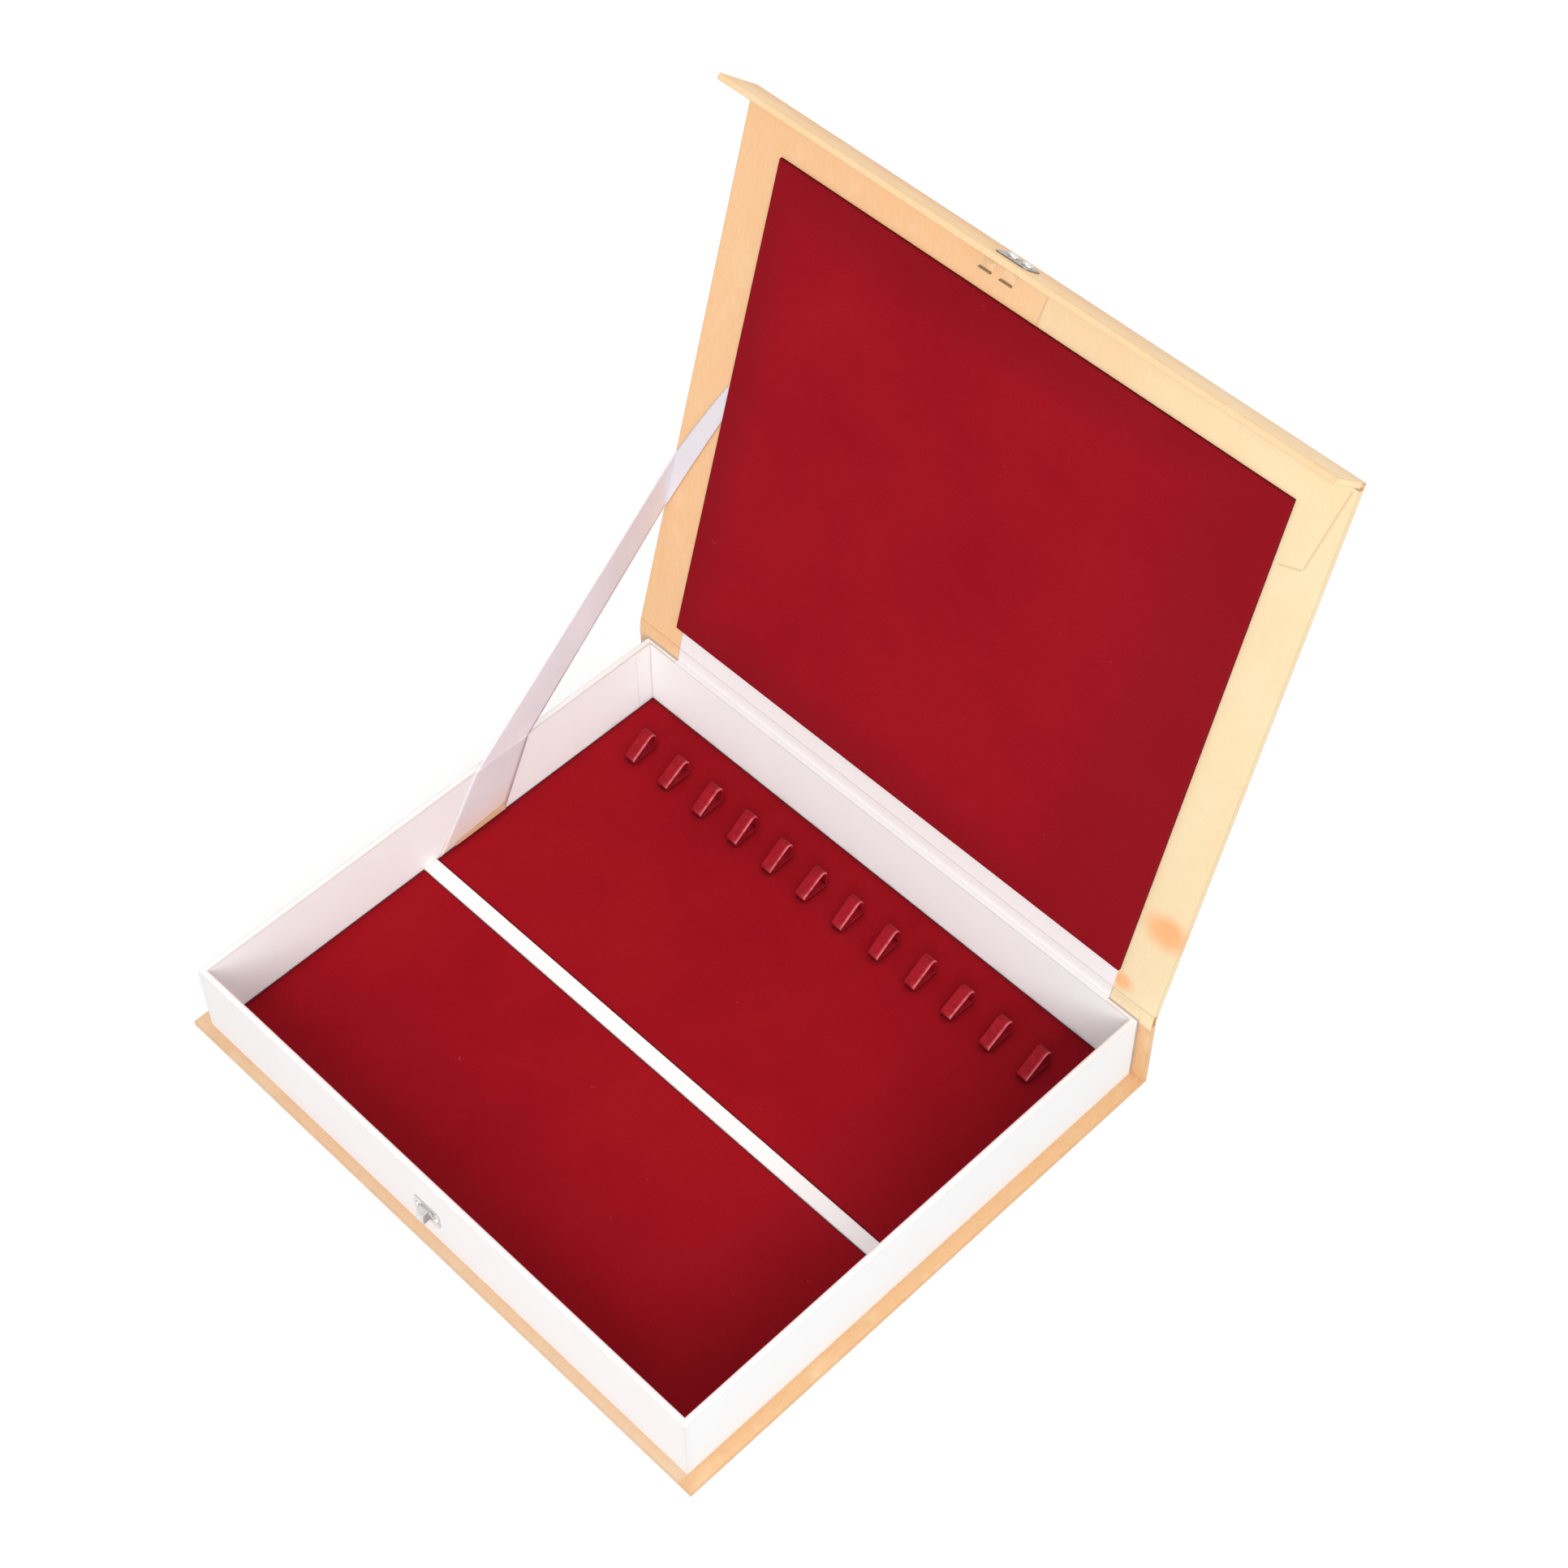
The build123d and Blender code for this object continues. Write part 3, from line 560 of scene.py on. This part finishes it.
def greyboard(name):
    m, t, s = new_material(name)
    fleck = noise(t, coords(t), 800.0, 4.0, 0.7)
    put(t, mix(t, remap(t, fleck, 0.3, 0.7), (0.26, 0.23, 0.19), (0.40, 0.36, 0.31)), s.inputs["Base Color"])
    s.inputs["Roughness"].default_value = 0.9
    bump(t, s, fleck, 0.3, 0.0002)
    return m


BASE_GOLD = gold_paper("gold_paper_base", "base")
LID_GOLD = gold_paper("gold_paper_lid", "lid")
FOLD_GOLD = gold_paper("gold_paper_fold", "lid", thin=True)
FLAP_GOLD = gold_paper("gold_paper_flap", "flap")
TRAY_WHITE = white_paper("white_paper_tray", (0.765, 0.742, 0.750), tray=True)
LID_WHITE = white_paper("white_paper_lid", (0.765, 0.745, 0.740))
BAR_WHITE = white_paper("white_paper_divider", (0.80, 0.78, 0.775))
# The third colour of each velvet is its painted shade at edges and in creases
LID_VELVET = velvet("lid_velvet_pile", (0.262, 0.0036, 0.0090), (0.312, 0.0060, 0.0122),
                    (0.075, 0.0030, 0.0060), "lid")
PAD_VELVET = velvet("pad_velvet_pile", (0.252, 0.0030, 0.0078), (0.298, 0.0053, 0.0104),
                    (0.090, 0.0020, 0.0050), "floor")
LEATHER = leatherette("leatherette")
SATIN = satin("satin_ribbon")
NICKEL = plated("nickel", (0.66, 0.645, 0.625), (0.82, 0.81, 0.79))
# Darker nickel for the latch plate
PLATE_METAL = plated("nickel_darkened", (0.22, 0.185, 0.165), (0.40, 0.355, 0.335))
# Prongs tinted gold: a painted reflection of the gold paper around them
PRONG_METAL = plated("prong_plate_gold_reflection", (0.80, 0.50, 0.27), (0.95, 0.64, 0.38), tips=True)
BOARD = greyboard("greyboard")

FINISH = {
    "base_cover_paper": BASE_GOLD,
    "spine_cover_paper": BASE_GOLD,
    "ribbon_anchor_patch": BASE_GOLD,
    "lid_cover_paper": LID_GOLD,
    "flap_cover_paper": FLAP_GOLD,
    "tray_cover_paper": TRAY_WHITE,
    "lid_border_strip": LID_WHITE,
    "divider_cover_paper": BAR_WHITE,
    "strike_plate": NICKEL,
    "strike_pins": NICKEL,
    "latch_plate": PLATE_METAL,
    "latch_prongs": PRONG_METAL,
    "latch_rivets": NICKEL,
}


def paint(obj, material):
    slots = obj.data.materials
    if len(slots) == 0:
        slots.append(material)
    for i in range(len(slots)):
        slots[i] = material


for name, obj in NODES.items():
    paint(obj, FINISH.get(name, BOARD))


# Mesh helpers, in millimetres

def mesh_piece(name, points, faces, material, smooth=True):
    mesh = bpy.data.meshes.new(name)
    mesh.from_pydata([tuple(p * MM) for p in points], [], faces)
    mesh.validate()
    mesh.update()
    mesh.materials.append(material)
    if smooth:
        mesh.polygons.foreach_set("use_smooth", [True] * len(mesh.polygons))
    obj = bpy.data.objects.new(name, mesh)
    bpy.context.scene.collection.objects.link(obj)
    return obj


def ring_tube(rings, closed=False):
    """Points and faces of a tube through rings of equal length."""
    count = len(rings[0])
    points = [p for ring in rings for p in ring]
    faces = []
    spans = len(rings) if closed else len(rings) - 1
    for r in range(spans):
        a = r * count
        b = ((r + 1) % len(rings)) * count
        for k in range(count):
            n = (k + 1) % count
            faces.append((a + k, a + n, b + n, b + k))
    if not closed:
        faces.append(tuple(range(count))[::-1])
        faces.append(tuple((len(rings) - 1) * count + k for k in range(count)))
    return points, faces


def smooth_path(points, steps):
    """Catmull-Rom curve through the points."""
    padded = [points[0] * 2 - points[1]] + list(points) + [points[-1] * 2 - points[-2]]
    out = []
    for i in range(1, len(padded) - 2):
        a, b, c, d = padded[i - 1:i + 3]
        for s in range(steps):
            t = s / steps
            square = (2 * a - 5 * b + 4 * c - d) * t ** 2
            cube = (3 * b - a - 3 * c + d) * t ** 3
            out.append(0.5 * ((2 * b) + (c - a) * t + square + cube))
    out.append(points[-1])
    return out


# Velvet pads: cloth drawn over card and rolled over the edges

EDGE_CUTS = [0.0, 0.15, 0.5, 1.0, 2.0, 4.0]
EDGE_BAND = 6.0
EDGE_ROLL = 0.5
PAD_THICK = 1.0
PANEL_THICK = 1.8
PANEL_START = 12.8
PANEL_END = REACH - 20.0
PANEL_HALF = HIGH["lid_velvet"].x


def pad_cuts(span, count):
    """Places of the mesh lines across a pad, close together near its edges."""
    middle = [EDGE_BAND + (span - 2 * EDGE_BAND) * k / count for k in range(count + 1)]
    return EDGE_CUTS + middle + [span - c for c in reversed(EDGE_CUTS)]


def cloth_waves(draw):
    """Five slow waves of the cloth, each with a pitch and a start along both sides."""
    waves = []
    for _ in range(5):
        pitch_u = draw.uniform(0.010, 0.028)
        start_u = draw.uniform(0, 6.28)
        pitch_v = draw.uniform(0.010, 0.030)
        start_v = draw.uniform(0, 6.28)
        waves.append((pitch_u, start_u, pitch_v, start_v))
    return waves


def grid_rim(wide, deep):
    """Numbers of a grid's outer points, once round."""
    first = list(range(wide))
    right = [r * wide + wide - 1 for r in range(1, deep)]
    last = [(deep - 1) * wide + c for c in range(wide - 2, -1, -1)]
    left = [r * wide for r in range(deep - 2, 0, -1)]
    return first + right + last + left


def velvet_pad(name, node_name, low, high, place, thick, material, draw):
    """Pad with rolled edges. low and high are its corners in its own plane and place puts it in the frame."""
    (u0, v0), (u1, v1) = low, high
    roll = min(EDGE_ROLL, thick / 2)
    span_u, span_v = u1 - u0, v1 - v0
    us, vs = pad_cuts(span_u, 48), pad_cuts(span_v, 30)
    waves = cloth_waves(draw)

    def rise(u, v):
        edge = min(u, span_u - u, v, span_v - v)
        fall = roll - math.sqrt(max(0.0, roll ** 2 - max(0.0, roll - edge) ** 2))
        swell = sum(math.sin(u * a + b) * math.sin(v * c + d) for a, b, c, d in waves) / len(waves)
        return thick - fall - 0.10 * (0.5 - 0.5 * swell) * min(1.0, edge / 4.0)

    points = [place(u0 + u, v0 + v, rise(u, v)) for v in vs for u in us]
    wide, deep = len(us), len(vs)
    faces = []
    for r in range(deep - 1):
        for c in range(wide - 1):
            k = r * wide + c
            faces.append((k, k + 1, k + wide + 1, k + wide))
    rim = grid_rim(wide, deep)
    foot = {}
    for k in rim:
        foot[k] = len(points)
        r, c = divmod(k, wide)
        points.append(place(u0 + us[c], v0 + vs[r], 0.0))
    for a, b in zip(rim, rim[1:] + rim[:1]):
        faces.append((b, a, foot[a], foot[b]))
    faces.append(tuple(foot[k] for k in reversed(rim)))
    obj = mesh_piece(name, points, faces, material)
    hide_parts(node_name)
    return obj


def floor_place(u, v, rise):
    return Vector((u, v, PAD_TOP - PAD_THICK + rise))


cloth_draw = random.Random(7)
for which in ("front", "rear"):
    name = which + "_pad_velvet"
    pad = velvet_pad(which + "_pad_cloth", name, LOW[name].xy, HIGH[name].xy, floor_place, PAD_THICK,
                     PAD_VELVET, cloth_draw)
    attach(pad, "base")
panel = velvet_pad("lid_panel_cloth", "lid_velvet", (-PANEL_HALF, PANEL_START), (PANEL_HALF, PANEL_END),
                   lid_at, PANEL_THICK, LID_VELVET, cloth_draw)
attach(panel, "lid")


# Chain loops: straps bent into a flat-footed drop

LOOP_COUNT = 12
LOOP_STRAP = 0.8
LOOP_NOSE = 1.7
LOOP_BACK = 2.6
LOOP_HEEL = 0.6
LOOP_EDGE = 0.24


def arc(centre, radius, start, end, steps):
    """Points on a round from start to end in degrees, end point left out."""
    angles = [math.radians(start + (end - start) * k / steps) for k in range(steps)]
    return [centre + Vector((math.cos(a), math.sin(a))) * radius for a in angles]


def loop_centreline(front, rear, low, high):
    """Closed run of the strap's middle in Y and Z: flat foot, upright back, sloping top, round nose."""
    inset = LOOP_STRAP / 2
    nose_at = Vector((front + LOOP_NOSE, low + LOOP_NOSE))
    back_at = Vector((rear - LOOP_BACK, high - LOOP_BACK))
    nose, back = LOOP_NOSE - inset, LOOP_BACK - inset
    across = back_at - nose_at
    slope = math.degrees(math.atan2(across.y, across.x) + math.asin((back - nose) / across.length))
    heel_at = Vector((rear - inset - LOOP_HEEL, low + inset + LOOP_HEEL))
    rounds = [arc(heel_at, LOOP_HEEL, -90, 0, 4), arc(back_at, back, 0, 90 + slope, 9),
              arc(nose_at, nose, 90 + slope, 270, 9)]
    run = []
    for i, points in enumerate(rounds):
        before = rounds[i - 1][-1]
        run += [before.lerp(points[0], k / 6) for k in range(1, 6)] + points
    return run


def strap_section(half):
    """Outline of the strap across and through, with rounded corners and extra points on both flats."""
    thick = LOOP_STRAP / 2
    r = LOOP_EDGE
    flats = [half * f for f in (0.6, 0.2, -0.2, -0.6)]
    section = []
    for cx, cz, start in ((half - r, thick - r, 0), (-half + r, thick - r, 90),
                          (-half + r, -thick + r, 180), (half - r, -thick + r, 270)):
        for k in range(4):
            angle = math.radians(start + 30 * k)
            section.append((cx + r * math.cos(angle), cz + r * math.sin(angle)))
        if start == 0:
            section += [(x, thick) for x in flats]
        if start == 180:
            section += [(x, -thick) for x in reversed(flats)]
    return section


def glint_value(across, through, normal, height):
    """Strength of the painted highlight: along the right edge of the strap's top, with a painted glint at the
    front of that edge.
    """
    side = max(0.0, min(1.0, (across - 0.62) / 0.25))
    top = max(0.0, min(1.0, normal.y * 2.0)) if through > 0 else 0.0
    nose = max(0.0, 1.0 - height / 0.32) * top * max(0.0, across * 0.8 + 0.2)
    return max(side * top * 0.85, nose)


def strap_loop(number, draw):
    name = "chain_loop_%02d" % number
    low, high = LOW[name], HIGH[name]
    middle = (low.x + high.x) / 2
    half = (high.x - low.x) / 2
    run = loop_centreline(low.y + draw.uniform(0.0, 0.3), high.y, PAD_TOP, high.z - draw.uniform(0.0, 0.6))
    skew = draw.uniform(-0.30, 0.30)
    turn = draw.uniform(-0.035, 0.035)
    cup = draw.uniform(0.05, 0.14)
    rings, glint = [], []
    for i, p in enumerate(run):
        tangent = (run[(i + 1) % len(run)] - run[i - 1]).normalized()
        normal = Vector((tangent.y, -tangent.x))
        height = (p.y - PAD_TOP) / (high.z - PAD_TOP)
        shift = skew * height + turn * (p.x - high.y)
        ring = []
        for across, through in strap_section(half):
            bow = cup * (1 - (across / half) ** 2) * min(1.0, max(0.0, height * 2 - 0.4))
            out = p + normal * (through - cup * 0.5 + bow)
            ring.append(Vector((middle + shift + across, out.x, max(out.y, PAD_TOP))))
            glint.append(glint_value(across / half, through, normal, height))
        rings.append(ring)
    points, faces = ring_tube(rings, closed=True)
    obj = mesh_piece("strap_loop_%02d" % number, points, faces, LEATHER)
    # Strength of the painted highlight at each point
    wear_and_glint = obj.data.attributes.new("glint", "FLOAT", "POINT")
    wear_and_glint.data.foreach_set("value", glint)
    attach(obj, "base")
    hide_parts(name)


loop_draw = random.Random(12)
for number in range(1, LOOP_COUNT + 1):
    strap_loop(number, loop_draw)


# Ribbon stay: one satin ribbon from under the velvet panel to the foot of the left wall

RIBBON_THICK = 0.22
RIBBON_CURL = 0.12
RIBBON_STEPS = 14
ACROSS = 12
RIBBON_X = -INNER_HALF + 0.45
# Room the satin's weave has across the ribbon and between its faces, in metres
WEAVE_WIDE = 0.019
WEAVE_DEEP = 0.001


def ribbon_stations():
    """The ribbon's far and near edge at each turn, from the panel over the lid's edge down to the pad."""
    edge = (lid_at(-149.3, 94.5, 0.9), lid_at(-149.3, 65.0, 0.9))
    rim = (Vector((RIBBON_X - 0.1, 21.5, RIM)), Vector((RIBBON_X - 0.1, 52.5, RIM)))
    foot = (Vector((RIBBON_X, -3.0, PAD_TOP + 0.2)), Vector((RIBBON_X, 35.0, PAD_TOP + 0.2)))
    free = [tuple(a.lerp(b, part) for a, b in zip(edge, rim)) for part in (0.03, 0.33, 0.66, 0.96)]
    down = [tuple(a.lerp(b, part) for a, b in zip(rim, foot)) for part in (0.06, 0.5)]
    return [
        (lid_at(-127.6, 144.0, 0.45), lid_at(-127.6, 126.0, 0.45)),
        (lid_at(-132.5, 134.0, 0.70), lid_at(-132.5, 113.0, 0.70)),
        (lid_at(-141.5, 113.5, 0.80), lid_at(-141.5, 87.5, 0.80)),
        (lid_at(-148.2, 97.2, 0.75), lid_at(-148.2, 68.2, 0.75)),
        edge, *free, rim, *down, foot,
    ]


def ribbon_rows():
    """Points of the ribbon's middle layer, one row across it at each step."""
    stations = ribbon_stations()
    far = smooth_path([s[0] for s in stations], RIBBON_STEPS)
    near = smooth_path([s[1] for s in stations], RIBBON_STEPS)
    return [[a.lerp(b, k / ACROSS) for k in range(ACROSS + 1)] for a, b in zip(far, near)]


def ribbon_layers(rows):
    """Points of the ribbon's two faces, with its edges curled a little along the free run."""
    last = len(rows) - 1
    tops, backs = [], []
    for i, row in enumerate(rows):
        ahead = rows[min(i + 1, last)]
        behind = rows[max(i - 1, 0)]
        for k in range(ACROSS + 1):
            side = row[min(k + 1, ACROSS)] - row[max(k - 1, 0)]
            normal = side.cross(ahead[k] - behind[k]).normalized()
            curl = RIBBON_CURL * (2 * k / ACROSS - 1) ** 2 * math.sin(math.pi * i / last)
            tops.append(row[k] + normal * (RIBBON_THICK / 2 + curl))
            backs.append(row[k] + normal * (curl - RIBBON_THICK / 2))
    return tops, backs


def ribbon_faces(count):
    """Faces of both layers, then the two long edges, then the two ends."""
    wide = ACROSS + 1
    layer = count * wide
    faces = []
    for i in range(count - 1):
        for k in range(ACROSS):
            a, b, c, d = i * wide + k, i * wide + k + 1, (i + 1) * wide + k + 1, (i + 1) * wide + k
            faces.append((a, b, c, d))
            faces.append((layer + a, layer + d, layer + c, layer + b))
        for k in (0, ACROSS):
            a, d = i * wide + k, (i + 1) * wide + k
            faces.append((a, d, layer + d, layer + a) if k == 0 else (d, a, layer + a, layer + d))
    for i in (0, count - 1):
        for k in range(ACROSS):
            a, b = i * wide + k, i * wide + k + 1
            faces.append((b, a, layer + a, layer + b) if i == 0 else (a, b, layer + b, layer + a))
    return faces


def ribbon_travel(rows):
    """Distance along the ribbon's middle to each row, in metres."""
    travel = [0.0]
    for before, after in zip(rows, rows[1:]):
        travel.append(travel[-1] + (after[ACROSS // 2] - before[ACROSS // 2]).length * MM)
    return travel


def ribbon():
    rows = ribbon_rows()
    tops, backs = ribbon_layers(rows)
    obj = mesh_piece("ribbon_stay_satin", tops + backs, ribbon_faces(len(rows)), SATIN)
    travel = ribbon_travel(rows)
    values = []
    for layer in range(2):
        for along in travel:
            for k in range(ACROSS + 1):
                values += [k / ACROSS * WEAVE_WIDE, along, layer * WEAVE_DEEP]
    run = obj.data.attributes.new("run", "FLOAT_VECTOR", "POINT")
    run.data.foreach_set("vector", values)
    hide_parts("ribbon_stay")
    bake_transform(obj)


ribbon()


# Papers folded over the hinge and the flap's crease

PAPER = 0.2
GAP = 2.8
STRIP_LEFT = LOW["hinge_lining_strip"].x
STRIP_RIGHT = HIGH["hinge_lining_strip"].x
BESIDE_STRIP = 0.1


def strip_section(profile):
    """Closed outline of paper laid along a line in Y and Z."""
    count = len(profile)
    outer = []
    for i in range(count):
        run = (profile[min(i + 1, count - 1)] - profile[max(i - 1, 0)]).normalized()
        outer.append(profile[i] + Vector((-run.y, run.x)) * PAPER)
    return list(profile) + outer[::-1]


def fold_strip(name, runs, material, node_name):
    """Paper that bends between two bodies. Each run is a line in Y and Z with its first and last x."""
    points, faces = [], []
    for profile, x0, x1 in runs:
        section = strip_section(profile)
        spans = max(1, round((x1 - x0) / 5))
        rings = []
        for s in range(spans + 1):
            x = x0 + (x1 - x0) * s / spans
            rings.append([Vector((x, p.x, p.y)) for p in section])
        ring_points, ring_faces = ring_tube(rings)
        faces += [tuple(k + len(points) for k in f) for f in ring_faces]
        points += ring_points
    obj = mesh_piece(name, points, faces, material, smooth=False)
    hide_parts(node_name)
    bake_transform(obj)


def flat(v):
    return Vector((v.y, v.z))


def bowed(a, b, c, bow, steps=8):
    """Line from a over b to c in Y and Z, with a small round at b."""
    first = [a.lerp(b, t / steps) for t in range(steps)]
    last = [b.lerp(c, t / steps) for t in range(steps + 1)]
    corner = first[-1:] + [b * (1 - bow) + (first[-1] + last[1]) * 0.5 * bow] + last[1:2]
    return first[:-1] + corner + last[2:]


def inner_fold(name, runs, material, node_name):
    fold_strip(name, runs, material, node_name)


outer_line = bowed(Vector((REAR, HINGE.z - GAP)), Vector((REAR, HINGE.z)), flat(HINGE + LID_ALONG * GAP), 0.6)
fold_strip("hinge_outer_paper", [(outer_line, -CASE_HALF, CASE_HALF)], FOLD_GOLD,
           "hinge_cover_paper")

lid_foot = flat(lid_at(0, GAP))
rim_line = bowed(Vector((INNER_REAR, RIM)), Vector((TRAY_REAR - 0.25, RIM)), lid_foot, 0.5)
end_line = bowed(Vector((TRAY_REAR - 0.4, RIM)), Vector((TRAY_REAR - 0.2, RIM)), lid_foot, 0.5)
spine_line = bowed(Vector((TRAY_REAR, 40.0)), Vector((TRAY_REAR, 42.4)), lid_foot, 0.5)
left_runs = [(end_line, -TRAY_HALF, STRIP_LEFT - BESIDE_STRIP), (spine_line, -CASE_HALF, -TRAY_HALF)]
right_runs = [(end_line, STRIP_RIGHT + BESIDE_STRIP, TRAY_HALF), (spine_line, TRAY_HALF, CASE_HALF)]
inner_fold("hinge_inner_paper", [(rim_line, STRIP_LEFT, STRIP_RIGHT)], LID_WHITE,
           "hinge_lining_strip")
inner_fold("hinge_left_end_paper", left_runs, FOLD_GOLD, "hinge_lining_left_end")
inner_fold("hinge_right_end_paper", right_runs, FOLD_GOLD, "hinge_lining_right_end")

crease_line = bowed(flat(CREASE - LID_ALONG * GAP), flat(CREASE), flat(CREASE + FLAP_ALONG * GAP), 0.6)
fold_strip("flap_crease_paper", [(crease_line, -CASE_HALF, CASE_HALF)], FOLD_GOLD,
           "crease_cover_paper")


# Floor, light and camera, in metres

def stage_plane(name, size, z, material):
    h = size / 2
    corners = [Vector((-h, -h, z)), Vector((h, -h, z)), Vector((h, h, z)), Vector((-h, h, z))]
    obj = mesh_piece(name, [c / MM for c in corners], [(0, 1, 2, 3)], material, smooth=False)


def bright_ray(tree):
    """1 for rays that come straight from the camera, off metal or through a clear piece."""
    path = tree.nodes.new("ShaderNodeLightPath")
    return either(tree, path.outputs["Is Camera Ray"], path.outputs["Is Glossy Ray"],
                  path.outputs["Is Transmission Ray"])


def floor_material():
    m, t, s = new_material("pale_floor")
    seen = bright_ray(t)
    grain = noise(t, coords(t), 3.0, 2.0)
    pale = mix(t, grain, (0.29, 0.29, 0.29), (0.31, 0.31, 0.31))
    dull = mix(t, grain, (0.49, 0.49, 0.49), (0.51, 0.51, 0.51))
    put(t, mix(t, seen, dull, pale), s.inputs["Base Color"])
    s.inputs["Roughness"].default_value = 0.8
    s.inputs["Specular IOR Level"].default_value = 0.0
    s.inputs["Emission Color"].default_value = (1, 1, 1, 1)
    put(t, math_node(t, "MULTIPLY", seen, 0.70), s.inputs["Emission Strength"])
    return m


def area_light(name, place, target, size, power, colour=(1, 1, 1)):
    data = bpy.data.lights.new(name, "AREA")
    data.shape = "DISK"
    data.size = size
    data.energy = power
    data.color = colour
    obj = bpy.data.objects.new(name, data)
    obj.location = place
    direction = Vector(target) - Vector(place)
    obj.rotation_euler = direction.to_track_quat("-Z", "Y").to_euler()
    bpy.context.scene.collection.objects.link(obj)


stage_plane("stage_floor", 14.0, -0.0002, floor_material())
area_light("key_light", (1.95, -1.95, 1.85), (0, 0.05, 0.05), 2.0, 64.0, (1.0, 0.99, 0.98))
area_light("top_light", (-0.3, 0.9, 2.6), (0, 0.1, 0.1), 1.2, 18.0)
area_light("side_light", (2.6, 0.2, 1.3), (0, 0, 0.02), 1.2, 20.0)
area_light("front_light", (0.1, -2.6, 1.3), (0, 0, 0.05), 1.2, 21.0)

world = bpy.data.worlds.new("soft_room")
bpy.context.scene.world = world
world.use_nodes = True
tree = world.node_tree
background = tree.nodes["Background"]
background.inputs["Color"].default_value = (1, 1, 1, 1)
put(tree, remap(tree, bright_ray(tree), 0.0, 1.0, 0.65, 1.0), background.inputs["Strength"])

# The camera that was fitted to the box's corners in the photo
CAMERA_PLACE = (0.52697, -0.45403, 1.07699)
CAMERA_RIGHT = Vector((0.706037, 0.708172, -0.001832))
CAMERA_DOWN = Vector((0.558814, -0.558715, -0.612834))
CAMERA_FORWARD = Vector((-0.435015, 0.43166, -0.79021))

camera_data = bpy.data.cameras.new("photo_camera")
camera_data.sensor_width = 36.0
camera_data.lens = 70.357
camera_data.dof.use_dof = False
camera_data.clip_end = 50.0
camera = bpy.data.objects.new("photo_camera", camera_data)
facing = Matrix((CAMERA_RIGHT, -CAMERA_DOWN, -CAMERA_FORWARD)).transposed().to_4x4()
camera.matrix_world = Matrix.Translation(CAMERA_PLACE) @ facing
bpy.context.scene.collection.objects.link(camera)
bpy.context.scene.camera = camera
bpy.context.scene.view_settings.view_transform = "Standard"
